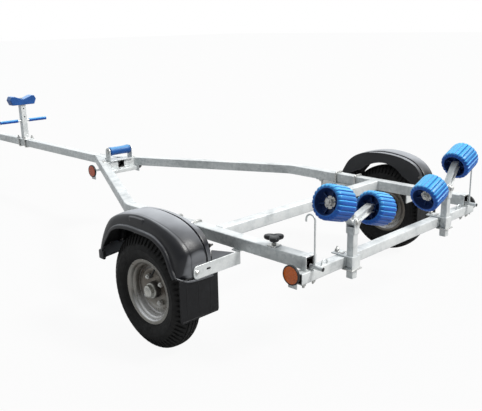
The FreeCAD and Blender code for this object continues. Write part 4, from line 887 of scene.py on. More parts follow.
# angle round the wheel; inboard edge: offset and radius; crease: offset and radius; radii of the
# crown's inner and outer shoulders and of the outboard ledge; the outer shoulder's offset
ARCH = (
    (-68, 3, 316, 26, 322, 329, 316, 284, 112), (-60, 3, 323, 26, 328, 337, 322, 286, 113),
    (-52, 3, 329, 26, 333, 343, 329, 287, 114), (-45, 3, 335, 26, 336, 345, 335, 288, 115),
    (-38, 3, 336, 26, 334, 341, 337, 293, 116), (-31, 3, 333, 26, 330, 335, 332, 291, 117),
    (-25, 3, 328, 26, 325, 329, 327, 286, 118), (-17, 3, 320, 26, 319, 323, 321, 278, 119),
    (-8, 3, 314, 26, 316, 321, 318, 271, 120), (2, 3, 312, 26, 316, 320, 317, 267, 120),
    (12, 2, 315, 26, 319, 322, 319, 271, 119), (21, 1, 322, 26, 326, 328, 323, 278, 116),
    (29, -1, 329, 25, 332, 334, 328, 280, 111), (37, -4, 335, 23, 334, 336, 331, 279, 104),
    (45, -8, 327, 19, 328, 333, 329, 269, 97), (50, -11, 312, 16, 318, 325, 322, 262, 93),
    (54, -13, 299, 13, 306, 311, 309, 257, 91), (56, -13, 293, 12, 297, 299, 298, 257, 90),
    (58, -13, 287, 11, 289.5, 290, 290, 257, 89), (62, -13, 276, 11, 278, 278.6, 278, 257, 88),
    (64.5, -13, 270, 11, 272, 272.4, 272, 258, 87), (67, -13, 265, 11, 267, 267.4, 267, 259, 87))
# angle and the radius of the lower edge of the inboard side panel
PANEL = ((-68, 302), (-58, 288), (-51, 276), (-43, 262), (-36, 250), (-24, 254), (-11, 258),
         (0, 259), (9, 257), (17, 253), (32, 240), (47, 254), (54, 257), (58, 258), (67, 256))
# the moulding's front and back ends, as angles round the wheel
FRONT_END, BACK_END = -67.9, 67


def along(table, a):
    """The table's row at an angle, on a smooth curve through its rows."""
    k = 0
    while k < len(table) - 2 and a > table[k + 1][0]:
        k += 1
    low, high = table[k], table[k + 1]
    before, after = table[max(0, k - 1)], table[min(len(table) - 1, k + 2)]
    span = high[0] - low[0]
    t = min(1.0, max(0.0, (a - low[0]) / span))
    out = []
    for p, b, c, d in list(zip(before, low, high, after))[1:]:
        m0 = (c - p) / (high[0] - before[0]) * span
        m1 = (d - b) / (after[0] - low[0]) * span
        out.append((2 * t ** 3 - 3 * t * t + 1) * b + (t ** 3 - 2 * t * t + t) * m0
                   + (3 * t * t - 2 * t ** 3) * c + (t ** 3 - t * t) * m1)
    return out


def reach_of(low, high):
    """How far the two sides of a piece are from the trailer's middle."""
    return sorted((abs(low.y), abs(high.y)))


def flap(name, side):
    """The mud flap: a moulded sheet with a rolled lower edge and shallow ribs."""
    low, high = box(name + "_mudguard")
    near, lip = reach_of(low, high)
    near -= 40
    wide, bottom = (lip - near) / 2, low.z - AXLE.z
    place = at((AXLE.x - 247, (near + lip) / 2 * side, AXLE.z), BACK)
    shape = Shape()
    sheet = [(118, -wide, 1), (bottom, -wide, 10), (bottom, wide - 6, 14), (118, wide - 6, 1)]
    slab(shape, place, softened(sheet, 8, 6), -4, 0, 1)
    for y in (-0.6 * wide, 0, 0.6 * wide):
        slab(shape, place, oblong(90, y - 3, bottom + 20, y + 3, 2.5), -1, 0.6, 0.5)
    slab(shape, place, oblong(bottom, 4 - wide, bottom + 7, wide - 12, 3), -1, 1.6, 0.9)
    piece(name + "_mud_flap", shape, FLAP, name + "_mudguard", angle=40)


def mudguard(name, side):
    """A moulded arch with a creased flange, broad crown, steep side, rolled ledge and pad."""
    near, lip = reach_of(*box(name + "_mudguard"))
    wide = lip - near
    skin = 4

    def section(a):
        """Offsets from the inboard edge and radii of the skin's outer face."""
        edge, r0, crease, r1, r2, r3, r4, shoulder = along(ARCH, a)
        crown = crease + 19
        pts = [(edge + (crease - edge) * f, r0 + (r1 - r0) * f)
               for f in (0, 0.25, 0.5, 0.75, 0.9, 1)]
        pts += [(crease + d, r1 + f * (r2 - r1)) for d, f in ((2.5, 0.15), (4.5, 0.4), (7.5, 0.66),
                                                             (12, 0.9))]
        pts.append((crown, r2 + 0.3))
        full = 9.2 * min(1.0, max(0.06, (57 - a) / 8))
        pts += [(crown + (shoulder - 5 - crown) * f, r2 + (r3 - r2) * f + full * f * (1 - f))
                for f in (0.25, 0.5, 0.75, 0.9)]
        pts.append((shoulder - 4, r3 - 0.2))
        for u in (0.0, 0.12, 0.25, 0.4, 0.55, 0.7, 0.84, 1.0):
            turn = u * pi / 2
            pts.append((shoulder + (wide - 13.5 - shoulder) * sin(turn),
                        r3 - 1.6 - (r3 - 5.6 - r4) * (1 - cos(turn))))
        pts += [(wide - d, r4 + h) for d, h in ((12.6, 1.5), (10.6, 0.4), (6.6, -0.8), (3.2, -2.6),
                                                (1, -6), (0.2, -12))]
        # the crease is a groove 7.5 deep
        return [Vector((q.x, q.y - 7.5 * max(0.0, 1 - abs((q.x - crease) / 4.6) ** 2.5)))
                for q in spline(pts, 2)]

    def spot(a, y, r):
        # the outboard part ends a little higher at the back than the wall does
        if a > 61:
            t = min(1.0, max(0.0, (y - 84) / (wide - 96)))
            a = 61 + (a - 61) * (1 - t * t * (3 - 2 * t))
        return Vector((AXLE.x - r * sin(radians(a)), (near + y) * side,
                       AXLE.z + r * cos(radians(a))))

    def ring(a):
        flat = section(a)
        ways = [(after - before).normalized()
                for before, after in zip(flat[:1] + flat[:-1], flat[1:] + flat[-1:])]
        under = [q - Vector((-way.y, way.x)) * skin for q, way in zip(flat, ways)]
        bead = [flat[-1] + Vector(off) for off in ((0.1, -2.0), (-1.6, -3.4))]
        return [spot(a, q.x, q.y) for q in flat + bead + under[::-1]]

    shape = Shape()
    angles = [FRONT_END + (BACK_END - FRONT_END) * k / 84 for k in range(85)]
    shape.loft([ring(a) for a in angles])
    # inboard side panel
    rows = []
    for a in angles:
        edge, top = along(ARCH, a)[:2]
        top -= 1
        foot = min(along(PANEL, a)[0], top - 4)
        rows.append([spot(a, edge + y, r) for y, r in (
            (0.3, top), (0.3, foot + 5), (-1.2, foot + 3.5), (-1.2, foot), (2.4, foot - 1),
            (3.6, foot + 1.5), (3.6, top - 2))])
    shape.loft(rows)
    # pad on the outboard side near the top
    rows = []
    for k in range(13):
        a = -12.5 + 20 * k / 12
        r, s = along(ARCH, a)[5::2]
        end = 0.6 if k in (0, 12) else 1.0
        rows.append([spot(a, s + y, r - drop) for y, drop in (
            (2, 6), (4 + 10 * end, 9.5), (6 + 12 * end, 13), (7 + 12.5 * end, 28 * end),
            (14, 31 * end), (6, 20))])
    shape.loft(rows)
    # front closing flange
    turn = radians(FRONT_END)
    away = Vector((cos(turn), 0, sin(turn)))
    outline = [(q.x, q.y - 1.2) for q in section(FRONT_END)[::2] if q.x < wide - 2]
    outline += [(wide - 1, outline[-1][1] - 2), (wide - 1, 258), (wide - 14, 255), (12, 270),
                (2.5, 278)]
    shape.loft([[spot(FRONT_END, y, r) - away * slide for y, r in outline] for slide in (-1, 6)])
    # rolled ledge along the moulding's lower edge at the back, and the block at the lip's front
    ledge = spline([(-246, -14, 99), (-247.5, 10, 100), (-249, 60, 102), (-248.5, 105, 107),
                    (-243, 130, 115), (-231.5, 149.5, 125.5)], 5)
    rod(shape, [(AXLE.x + q.x, (near + q.y) * side, AXLE.z + q.z) for q in ledge], 4.2, 12)
    ys = sorted(((lip - 14) * side, (lip - 0.5) * side))
    block(shape, (AXLE.x + 232, ys[0], 324), (AXLE.x + 270, ys[1], 364), 4)
    # web from the rear wall in to the brace's inner end
    web = [(350, OUTER - 4, 2), (388, OUTER - 4, 3), (437, near - 12, 4), (350, near - 12, 1)]
    slab(shape, at((AXLE.x - 246, 0, 0), AHEAD),
         [Vector((q.x, -q.y * side)) for q in softened(web, 3)], 0, 3.5, 1)
    moulding = piece(name + "_guard_moulding", shape, [MOULD, MOULD_INNER], name + "_mudguard",
                     angle=40)
    # painted shade: faces that look in towards the wheel, and inboard faces, take the darker copy
    for poly in moulding.data.polygons:
        out = poly.center / MM - AXLE
        out.y = 0
        inboard = poly.normal.y * side > 0.7 and abs(poly.center.y) / MM < near + 8
        if poly.normal.dot(out.normalized()) < -0.35 or inboard:
            poly.material_index = 1
    flap(name, side)
    fixings = Shape()
    turn = radians(58.7)
    inward = Vector((-cos(turn), 0, -sin(turn)))
    for y in (853, 800):
        bolt_head(fixings, at(Vector((AXLE.x + 250, y * side, AXLE.z + 152)) + inward * 4, inward,
                              LEFT), 6)
    place = at((AXLE.x - 236, (near - 9) * side, AXLE.z + 215), (0, -side, 0))
    bolt_head(fixings, place, 8)
    disc(fixings, place, 4, 0, 18)
    piece(name + "_guard_screws", fixings, DARK_STEEL)


def brace(shape, low, high, side, rear):
    """A folded strap from the rail to the mudguard, its outer end rounded."""
    thick, curve = 5, 17 if rear else 6
    root, tip = OUTER - 6, reach_of(low, high)[1]
    start = root + 4 if rear else root - 16
    deep = high.z - thick - low.z
    loop = softened([(0, start, 1), (0, tip, curve), (deep, tip, curve),
                     (deep + thick - 0.5, start, 1)], 2, 7)
    slab(shape, at((low.x + 20, 0, low.z), AHEAD), [Vector((q.x, -q.y * side)) for q in loop],
         0, thick, 1)
    ys = sorted(((root - 36) * side, (root + (16 if rear else 4)) * side))
    x, long = (low.x + 20, 38) if rear else (low.x, 45)
    block(shape, (x, ys[0], high.z - thick), (x + long, ys[1], high.z))


def mudguards():
    for name, side in SIDES:
        mudguard(name, side)
    straps, bolts, slots = Shape(), Shape(), []
    for low, high, middle in islands("mudguard_brackets"):
        side, rear = copysign(1, middle.y), low.x < AXLE.x
        brace(straps, low, high, side, rear)
        tip = reach_of(low, high)[1]
        if rear:
            bolt_head(bolts, at((low.x + 20, (tip - 15) * side, middle.z - 0.5), BACK, (0, 1, 1)),
                      8)
            slots += [at((low.x, (tip - 66 - k * 3) * side, middle.z), AHEAD) for k in range(5)]
        else:
            nut(bolts, at((low.x + 30, (OUTER - 22) * side, high.z - 5), DOWN), 8, 5)
    bored(piece("mudguard_straps", straps, GALV_FINE, "mudguard_brackets"), slots, 4.5)
    piece("mudguard_bolts", bolts, ZINC)


# ---------------------------------------------------------------- hull rollers and their heads

# along, radius, how deep the grooves between the ribs cut
ROLLER = (
    (-18, 20, 0), (-18, 40.5, 0), (-19.5, 42, 0), (-51.5, 47.2, 0), (-53, 49, 0), (-53, 54.6, 0.75),
    (-52, 57.8, 0.9), (-50, 61, 1), (-47, 63.9, 1), (-43.5, 65.2, 1), (-40, 65.5, 1),
    (-20, 65.5, 1), (0, 65.5, 1), (20, 65.5, 1), (40, 65.5, 1), (43.5, 65.2, 1), (47, 63.9, 1),
    (50, 61, 1), (52, 57.8, 0.9), (53, 54.6, 0.75), (53, 49, 0), (51.5, 47.2, 0), (24.5, 42, 0),
    (23, 40.5, 0), (23, 20, 0))
# how far a groove is cut at each tenth of a rib's pitch
GROOVE = (1.0, 0.62, 0.05, 0, 0, 0, 0, 0, 0.05, 0.62)


def roller_place(name, which, side):
    """A hull roller's middle, with local Z away from the head's pivot."""
    spin = "%s_%s_roller_spin" % (name, which)
    out = side if which == "outer" else -side
    return at(joint_spot(spin), Vector(JOINT[spin]["axis"]) * out, AHEAD)


def hull_roller(name, which, side):
    """A ribbed roller with deep hollow ends, hub and spokes."""
    node = "%s_%s_roller" % (name, which)
    body = "%s_%s_hull_roller" % (name, which)
    place = roller_place(name, which, side)
    ribs, shape, rows = 22, Shape(), []
    for k in range(ribs * 10):
        a = 2 * pi * k / (ribs * 10)
        cut = 3.6 * GROOVE[k % 10] + 0.3 - 0.35 * (1 - abs(k % 10 / 10 - 0.5) * 2)
        rows.append([place @ Vector(((r - cut * deep) * cos(a), (r - cut * deep) * sin(a), z))
                     for z, r, deep in ROLLER])
    shape.rows(rows, wrap=True)
    web = Shape()
    lathe(web, place, [(-18, 20.5), (-28, 19.5), (-29, 18.5), (-29, 10.1), (10, 10.1), (24, 10.1),
                       (24, 18.5), (23, 20.5)], 40)
    for k in range(6):
        a = pi / 3 * k + 0.26
        way, across = Vector((cos(a), sin(a), 0)), Vector((-sin(a), cos(a), 0)) * 2.2
        for inner, outer, root, shallow, tall in ((18, 42.5, -17.5, -27, -33),
                                                  (19, 43.5, 22.5, 27, 35)):
            foot = [way * inner - across, way * outer - across,
                    way * outer + across, way * inner + across]
            web.loft([[place @ (q + Vector((0, 0, z))) for q, z in zip(foot, heights)]
                      for heights in ((root,) * 4, (shallow, tall, tall, shallow))])
    roller = piece("%s_%s_ribbed_roller" % (name, which), shape, [BLUE, BLUE_SHADED], node, body=body,
                   angle=36)
    # painted shade: faces inside the hollow ends take the dark blue
    for poly in roller.data.polygons:
        local = place.inverted() @ (poly.center / MM)
        if hypot(local.x, local.y) < 48.6 and abs(local.z) < 52.4:
            poly.material_index = 1
    # painted shade: the hub and spokes deep in the hollow are dark blue all over
    piece("%s_%s_roller_web" % (name, which), web, BLUE_SHADED, body=body)


def roller_axles(name, side):
    """Spacer, washer, nut and thread end of each roller's axle."""
    shape = Shape()
    for which in ("outer", "inner"):
        place = roller_place(name, which, side)
        disc(shape, place, 10, -19, 24)
        thread(shape, place, 8, 22, 43)
        disc(shape, place, 24, 24.2, 27, 8, 0.8, 48)
        hexagon(shape, place, 14.8, 27, 38.5)
        disc(shape, place, 14, -21.5, -19)
    piece(name + "_axle_hardware", shape, ZINC, name + "_roller_axles", body=name + "_rocking_head")


def heads():
    # the opening in each arm of a head: across and above the pivot, radius of the corner
    gap = softened([(19, 1, 3), (93, 46.5, 4), (110, 46.5, 2), (110, 69, 2), (90, 69, 4),
                    (19, 24, 3)], 3, 4)
    for name, side in SIDES:
        head = eased(name + "_roller_head", 3, 3, name + "_rocking_head")
        pivot = joint_spot(name + "_head_rock")
        across = Vector(JOINT[name + "_outer_roller_spin"]["axis"]) * side
        above = Vector((0, -across.z, across.y)) * copysign(1, across.y)
        cutters = [Shape(), Shape()]
        for cutter, sign in zip(cutters, (1, -1)):
            cutter.loft([[pivot + Vector((x, 0, 0)) + across * q.x * sign + above * q.y
                          for q in gap] for x in (-16, -6)])
        carved(head, cutters)
        roller_axles(name, side)
        for which in ("outer", "inner"):
            hull_roller(name, which, side)
    pins = Shape()
    for low, high, middle in islands("head_pivot_pins"):
        rear, front = low.x + 5, high.x - 5
        disc(pins, at((rear, middle.y, middle.z), AHEAD), 6, -1, front - rear + 1)
        bolt_head(pins, at((rear, middle.y, middle.z), BACK, (0, 1, 0.4)), 12)
        nut(pins, at((front, middle.y, middle.z), AHEAD), 12, 5)
    piece("head_pivot_bolts", pins, ZINC, "head_pivot_pins")


def posts():
    """Square posts with welded ears."""
    shape, beads = Shape(), Shape()
    for low, high, (x, y, _) in islands("roller_posts"):
        half = (high.y - low.y) / 2
        pivot = high.z - half
        top, ear_low = pivot - 19.5, pivot - 45.5
        tube(shape, [(x, y, low.z), (x, y, top)], 2 * half, 3.6, up=AHEAD)
        crown = [(pivot + half * sin(radians(d)), -half * cos(radians(d)), 0)
                 for d in range(15, 180, 15)]
        ear = softened([(ear_low, -half, 2), (pivot, -half, 0), *crown, (pivot, half, 0),
                        (ear_low, half, 2)], 2)
        for out in (-1, 1):
            face = x + half * out
            slab(shape, at((face, y, 0), (out, 0, 0)), ear, 0, 5, 0.9)
            weld(beads, [(face + out, y + s * (half - 0.5), z) for s, z in (
                (-1, top - 1), (-1, ear_low), (1, ear_low), (1, top - 1))], 2.2)
    piece("roller_post_tubes", shape, GALV, "roller_posts")
    piece("roller_post_welds", beads, GALV_FINE)
    eased("post_clamps", 1.4)
    bolts, plates = Shape(), Shape()
    for low, high, (_, y, _) in islands("post_clamps"):
        x = high.x - 10
        disc(bolts, at((x, y, low.z), UP), 5, 0, high.z - low.z)
        nut(bolts, at((x, y, high.z), UP), 10, 9)
        nut(bolts, at((x, y, low.z), DOWN), 10, 6)
        for off in (-9, 9):
            coach_head(bolts, at((x - 30, y + off, high.z), UP), 8)
        # packing plate round the post under the clamp
        block(plates, (low.x - 6, low.y - 6, low.z - 2), (low.x + 44, high.y + 6, low.z + 2.5))
    piece("post_clamp_plates", plates, ZINC)
    piece("post_clamp_bolts", bolts, ZINC)


# ---------------------------------------------------------------- straps, lamp arms, reflectors

def straps():
    eased("rail_straps", 1.3)
    bolts, feet = Shape(), Shape()
    under = BEAM[0].z - 4
    for low, high, (x, _, _) in islands("rail_straps"):
        for y in (low.y + 2, high.y - 2):
            disc(bolts, at((x, y, under), UP), 5, 0, LOW - BEAM[0].z + 6)
            nut(bolts, at((x, y, under), DOWN), 10, 8)
        block(feet, (x - 14, low.y - 7, under), (x + 14, high.y + 7, BEAM[0].z))
    piece("rail_strap_bolts", bolts, ZINC)
    piece("rail_strap_plates", feet, GALV_FINE)


def light_arms():
    for name, _ in SIDES:
        node, body = name + "_light_arm", name + "_lamp_arm"
        low, high = box(node)
        y, z, long = (low.y + high.y) / 2, low.z + 8, high.x - low.x
        shape = Shape()
        lathe(shape, at((low.x, y, z), AHEAD), [(0, 6.4), (0, 7.4), (0.6, 8), (long - 0.6, 8),
                                                (long, 7.4), (long, 6.4)], 28, closed=True)
        hook, curl = low.x + 38, 20
        top = high.z - curl - 3.5
        path = [(hook, y, z + 2), (hook, y, z + 60), (hook, y, top)]
        path += arc((hook + curl, y, top), (-curl, 0, 0), (0, 0, curl), 12, 180, 14)
        rod(shape, path + [(hook + 2 * curl, y, top - 8)], 3.5, 14)
        weld_ring(shape, (hook, y, z + 7.6), 4.6, 1.4)
        piece(name + "_lamp_arm_rod", shape, GALV_FINE, node, body=body)
        cap = Shape()
        lathe(cap, at((low.x, y, z), BACK), [
            (-6, 0), (-6, 6.3), (-0.2, 6.4), (-0.2, 7.6), (-1.4, 7.9), (-1.4, 8), (-0.1, 7.9),
            (0, 7.2), (0, 0)], 28)
        piece(name + "_lamp_arm_plug", cap, CAP_BLACK, body=body)
    eyes = Shape()
    for low, high, (x, y, _) in islands("lashing_eyes"):
        reach = (high.y - low.y) / 2 + 1
        path = [(x, y - reach, LOW + 0.2)]
        path += arc((x, y, LOW + 2), (0, -reach, 0), (0, 0, high.z - LOW + 1), 0, 180, 18)
        rod(eyes, path + [(x, y + reach, LOW + 0.2)], 3, 14)
        for foot in (y - reach, y + reach):
            weld_ring(eyes, (x, foot, LOW + 0.4), 4.2, 1.6)
    piece("lashing_eye_rings", eyes, GALV_FINE, "lashing_eyes")


def knobs():
    """Three-lobed hand knobs on plated studs."""
    shape, steel = Shape(), Shape()
    # height, and share of the knob's reach
    levels = [(0, 0), (0, 0.42), (0.5, 0.80), (2.2, 0.93), (5, 0.985), (9, 1.0), (13, 0.985),
              (15.8, 0.93), (17.4, 0.82), (18, 0.62), (18, 0.34), (17, 0.28), (17, 0)]
    x, count = REAR + 172, 96
    for _, _, middle in islands("light_arm_knobs"):
        y = copysign(OUTER - 25, middle.y)
        block(steel, (x - 20, y - 20, TOP), (x + 20, y + 20, TOP + 4))
        hexagon(steel, at((x, y, TOP + 4), UP), 9.8, 0, 8)
        thread(steel, at((x, y, TOP), UP), 5.2, 4, 24)
        rows = []
        for k in range(count):
            a = 2 * pi * k / count
            reach = 22.5 + 18.5 * (0.5 + 0.5 * cos(3 * (a - radians(15)))) ** 0.8
            rows.append([Vector((x + f * reach * cos(a), y + f * reach * sin(a), TOP + 22 + z))
                         for z, f in levels])
        shape.rows(rows, wrap=True)
    piece("hand_knobs", shape, BLACK, "light_arm_knobs", angle=50)
    piece("hand_knob_studs", steel, ZINC)


def reflectors():
    for kind, lens in (("rear", AMBER), ("front", RED_AMBER)):
        shape = Shape()
        for low, high, middle in islands(kind + "_reflectors"):
            side = copysign(1, middle.y)
            place = at((middle.x, low.y if side > 0 else high.y, middle.z), (0, side, 0))
            deep, r = high.y - low.y, (high.z - low.z) / 2
            shape.kind = 0
            lathe(shape, place, [(deep - 2.4, 0), (deep - 2.4, r - 4.6), (deep - 1.4, r - 4.6),
                                 (deep - 0.5, r - 9), (deep - 0.1, r - 18), (deep, 0)], 72)
            shape.kind = 1
            lathe(shape, place, [(0, 0), (0, r - 1.5), (1, r - 0.5), (4, r), (deep - 2.5, r),
                                 (deep - 0.6, r - 1), (deep, r - 2.4), (deep - 0.6, r - 4),
                                 (deep - 2.6, r - 4.8), (deep - 2.6, 0)], 72)
        piece(kind + "_lenses", shape, [lens, CAP_BLACK], kind + "_reflectors", angle=40)
    eased("reflector_brackets", 1.1)


# ---------------------------------------------------------------- nose, keel roller and bow post

def nose():
    eased("nose_gussets", 1.6)
    eased("nose_clamp_plate", 1.6)
    low, high = box("nose_clamp_plate")
    bolts = Shape()
    for x, y in ((low.x + 22, 36), (low.x + 26, -11), (low.x + 22, -58), (high.x - 24, 36),
                 (high.x - 24, -36)):
        nut(bolts, at((x, y, high.z - 6), DOWN), 10, 10)
    for side in (1, -1):
        for k in (18, 46):
            y = (120 - k * tan(BEND_ANGLE)) * side
            coach_head(bolts, at((DRAW[0].x + k, y, TOP), UP), 9)
    piece("nose_bolts", bolts, ZINC)


def keel():
    eased("keel_roller_bracket", 1.3)
    low, high = box("keel_roller_pin")
    x, _, z = (low + high) / 2
    pin = Shape()
    disc(pin, at((x, low.y, z), LEFT), 7.95, 0, high.y - low.y, soft=1.2)
    for y, out in ((low.y + 10, -1), (high.y - 10, 1)):
        disc(pin, at((x, y, z), (0, out, 0)), 14, 0, 2.4)
        rod(pin, [(x, y + out * 5.5, z - 14), (x, y + out * 5.5, z + 13)], 1.6, 10)
    piece("keel_pin_and_clips", pin, ZINC, "keel_roller_pin")
    low, high = box("keel_roller")
    end = (low.y - high.y) / 2
    profile = [(end, 8.1), (end, 20), (end + 0.8, 23.2), (end + 3, 25.6), (end + 6.5, 26.8),
               (end + 10, 27), (end + 12, 26.9), (end + 13, 25.9), (end + 14.4, 25.7),
               (end + 16, 25.9), (end + 22, 25.6), (end + 40, 24.7), (0, 24.3)]
    shape = Shape()
    lathe(shape, at((x, 0, z), LEFT), mirrored(profile), 96, closed=True)
    piece("keel_roller_moulding", shape, KEEL, "keel_roller", body="keel_roller_body", angle=30)


def bow_post():
    low, high = box("bow_post")
    winch = [m["pos_m"][2] / MM for m in frame["record"]["mounts"] if m["name"] == "winch_bolts"][0]
    bored(straight_tube("bow_post_tube", "bow_post", 2, 4),
          [at((low.x + 20, 0, winch + off), AHEAD) for off in (-30, 30)], 5.25)
    eased("bow_post_base", 1.3)
    base = box("bow_post_base")[1].z
    bolts = Shape()
    for a, b, middle in islands("bow_post_u_bolts"):
        ends = (a.y + 5, b.y - 5)
        u_bolt(bolts, middle.x, ends, a.z + 5, base + 18)
        for y in ends:
            nut(bolts, at((middle.x, y, base), UP), 10, 6)
    piece("bow_post_clamps", bolts, ZINC, "bow_post_u_bolts")
    beads = Shape()
    x, h = (low.x + high.x) / 2, (high.x - low.x) / 2
    g = h - 3
    weld(beads, [(x + u, v, low.z) for u, v in (
        (-h, -g), (-h, g), (-g, h), (g, h), (h, g), (h, -g), (g, -h), (-g, -h), (-h, -g))], 2.6)
    piece("bow_post_weld", beads, GALV_FINE)
    bar = box("handle_bar")
    z = (bar[0].z + bar[1].z) / 2
    shape = Shape()
    disc(shape, at((x, bar[0].y, z), LEFT), 7.98, 0, bar[1].y - bar[0].y, soft=1)
    for side in (1, -1):
        disc(shape, at((x, h * side, z), (0, side, 0)), 13, 0, 3)
    piece("handle_rod", shape, GALV_FINE, "handle_bar")
    grips = Shape()
    for a, b, middle in islands("handle_grips"):
        side = copysign(1, middle.y)
        inner, outer = reach_of(a, b)
        long = outer - inner
        profile = [(0, 8.1), (0, 10.5), (1.2, 11.9), (5, 12), (6.2, 10.4)]
        y = 7.4
        while y + 9.4 < long - 8:
            profile += [(y, 10.3), (y + 1.6, 11.6), (y + 4.6, 11.9), (y + 6.2, 11.5),
                        (y + 7.6, 10.3)]
            y += 9.4
        profile += [(long - 6, 11.9), (long - 2, 11.9), (long - 0.6, 10.6), (long, 8), (long, 0)]
        lathe(grips, at((x, inner * side, z), (0, side, 0)), profile, 40)
    piece("hand_grips", grips, BLUE, "handle_grips", angle=30)
    cast(2.2, 5, "bow_snubber", looks=SNUB)
    bolt = Shape()
    bolt_head(bolt, at((x, 0, box("bow_snubber")[0].z + 39.5), UP), 12)
    piece("snubber_bolt", bolt, ZINC)


# ---------------------------------------------------------------- coupling and jockey wheel

def coupling():
    cast(1.6, 7, "coupling_sleeve", "coupling_socket")
    bolts = Shape()
    for x in (DRAW[1].x - 20, DRAW[1].x - 70):
        bolt_head(bolts, at((x, 29, 425), LEFT), 12)
        nut(bolts, at((x, -29, 425), (0, -1, 0)), 12)
    piece("coupling_bolts", bolts, ZINC)
    cast(1.2, 8, "coupling_lever", looks=BLACK)
    eased("safety_chain_plate", 1.2)


def jockey():
    cast(1.6, 5, "jockey_clamp")
    eased("jockey_fork", 1.4, body="jockey_caster")
    x, y, swivel = joint_spot("jockey_swivel")
    low = box("jockey_outer_tube")[0].z
    top = TOP + 310
    long = top - low
    shape = Shape()
    lathe(shape, at((x, y, low), UP), [
        (0, 21), (0, 23.3), (0.8, 24), (long - 14, 24), (long - 13, 24), (long - 2, 24), (long, 22),
        (long, 0), (long - 22, 0), (long - 22, 21)], 56, closed=True)
    slab(shape, Matrix.Translation((x, y, 0)), oblong(-11, -8, 130, 8, 7.8, 8), top + 20, top + 28,
         1.5)
    shape.kind = 1
    disc(shape, at((x, y, top), UP), 12, 0, 5)
    disc(shape, at((x, y, top), UP), 8, 3, 22)
    shape.kind = 2
    lathe(shape, at((x + 118, y, top + 28), UP), [
        (0, 0), (0, 8), (2, 9.2), (16, 10.6), (34, 10.9), (48, 9.9), (56, 8), (59.4, 4.6), (60, 0)],
        40)
    piece("jockey_tube_and_crank", shape, [GALV, ZINC, CAP_BLACK], "jockey_outer_tube")
    clamp = box("jockey_clamp")
    hub = (clamp[0] + clamp[1]) / 2
    hub.y = clamp[0].y
    hub.z += 8
    place = at(hub, (0, -1, 0))
    handle = Shape()
    thread(handle, place, 6, 0, 34)
    hexagon(handle, place, 10.5, 0, 9)
    rod(handle, [hub + Vector((0, -36, -42)), hub + Vector((0, -36, 42))], 5)
    disc(handle, place, 8.5, 28, 44)
    piece("jockey_clamp_handle", handle, ZINC)
    shape = Shape()
    end = box("jockey_stem")[1].z - swivel
    lathe(shape, at((x, y, swivel), UP), [
        (-14, 0), (-14, 9), (0.3, 9), (0.3, 25), (1.5, 26), (9, 26), (12, 23), (13, 20.9),
        (end - 1, 20.9), (end, 20), (end, 0)], 48)
    piece("jockey_inner_stem", shape, GALV_FINE, "jockey_stem", body="jockey_stem_body")


def jockey_wheel():
    spot = joint_spot("jockey_wheel_spin")
    place = at(spot, LEFT)
    body = "jockey_road_wheel"
    tread = Shape()
    lathe(tread, place, mirrored([
        (-12, 62.5), (-17, 64), (-21, 68), (-24, 75), (-25, 83), (-24, 90.5), (-20, 96.5),
        (-14, 99.2), (-11.5, 99.6), (-11, 97.4), (-8, 97.4), (-7.5, 99.9), (0, 100)]), 120,
        closed=True)
    piece("jockey_tyre", tread, RUBBER, "jockey_wheel", body=body, angle=40)
    rim = Shape()
    half = [(-25, 8.2), (-25, 16), (-24, 18.5), (-22, 20.5), (-12, 22), (-8, 26), (-6.5, 34),
            (-7, 48), (-9, 54), (-13, 58.5), (-18, 61.5), (-21.4, 66), (-22.4, 70), (-20.6, 70.4),
            (-18.4, 66.4), (-12, 63)]
    lathe(rim, place, half + [(-a, r) for a, r in half[::-1]], 96, closed=True)
    piece("jockey_rim", rim, SILVER, body=body, angle=40)
    pin = Shape()
    low, high = box("jockey_fork")
    for y, out in ((low.y + 6, -1), (high.y - 6, 1)):
        hexagon(pin, at((spot.x, y, spot.z), (0, out, 0)), 11, 0, 6.4)
    piece("jockey_axle_nuts", pin, ZINC, body="jockey_caster")


# ---------------------------------------------------------------- stage

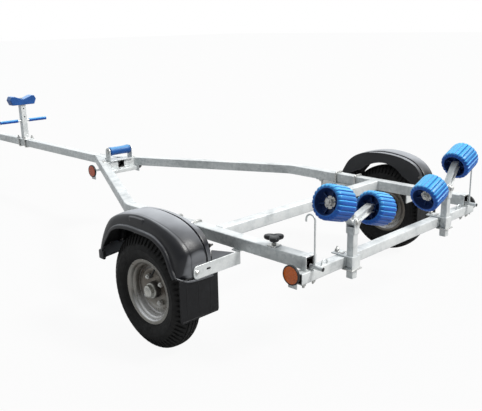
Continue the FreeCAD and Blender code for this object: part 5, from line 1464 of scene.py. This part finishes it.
def light():
    """A pale studio, brighter behind the trailer's left, and one soft sun."""
    scene = bpy.context.scene
    scene.world = bpy.data.worlds.new("studio")
    studio = Nodes(scene.world)
    side = studio.dot(studio.node("TexCoord").outputs["Generated"], (0.60, -0.55, 0.58))
    glow = studio.node("MapRange", side, -0.5, 0.95, 0.16, 1.15).outputs[0]
    back = studio.tree.nodes["Background"]
    studio.put(back.inputs["Color"], (0.95, 0.98, 1.0))
    studio.put(back.inputs["Strength"], glow)
    white = studio.node("Background", Color=(1, 1, 1), Strength=1.0)
    studio.seen("World Output", studio.node("LightPath").outputs["Is Camera Ray"], back, white)
    sun = bpy.data.lights.new("key", "SUN")
    sun.energy = 2.9
    sun.angle = radians(14)
    sun.color = (1.0, 0.99, 0.97)
    key = bpy.data.objects.new("key", sun)
    key.rotation_mode = "QUATERNION"
    key.rotation_quaternion = Vector((-0.62, -0.30, 0.74)).to_track_quat("Z", "Y")
    scene.collection.objects.link(key)


def ground():
    """A plain floor, almost white to the camera and grey to the light."""
    mesh = bpy.data.meshes.new("floor")
    s = 60
    mesh.from_pydata([(-s, -s, 0), (s, -s, 0), (s, s, 0), (-s, s, 0)], [], [(0, 1, 2, 3)])
    floor = bpy.data.objects.new("floor", mesh)
    bpy.context.scene.collection.objects.link(floor)
    mesh.materials.append(bpy.data.materials.new("floor"))
    plain = Nodes(mesh.materials[0])
    shader = plain.tree.nodes["Principled BSDF"]
    plain.put(shader.inputs["Base Color"], (0.42, 0.42, 0.42))
    plain.put(shader.inputs["Roughness"], 0.9)
    share = plain.math("MULTIPLY", plain.node("LightPath").outputs["Is Camera Ray"], 0.93)
    plain.seen("Material Output", share, shader, plain.node("Emission", Strength=1.0))


def camera():
    """The photo's camera: its place in metres and its three turns."""
    data = bpy.data.cameras.new("camera")
    data.sensor_width = 36
    data.lens = 49.55
    data.clip_end = 200
    thing = bpy.data.objects.new("camera", data)
    bpy.context.scene.collection.objects.link(thing)
    yaw, pitch, roll = radians(-44.3355), radians(-15.3607), radians(-1.1494)
    look = Vector((cos(yaw) * cos(pitch), sin(yaw) * cos(pitch), sin(pitch)))
    right = look.cross(Vector(UP)).normalized()
    up = right.cross(look)
    x, y = right * cos(roll) + up * sin(roll), up * cos(roll) - right * sin(roll)
    place = Matrix((x, y, -look)).transposed().to_4x4()
    place.translation = Vector((-3.54595, 2.28914, 1.2479))
    thing.matrix_world = place
    bpy.context.scene.camera = thing


frame_tubes()
end_caps()
wheels()
mudguards()
heads()
posts()
straps()
light_arms()
knobs()
reflectors()
nose()
keel()
bow_post()
coupling()
jockey()
jockey_wheel()

bpy.context.scene.view_settings.view_transform = "Standard"
light()
ground()
camera()
bpy.context.view_layer.update()
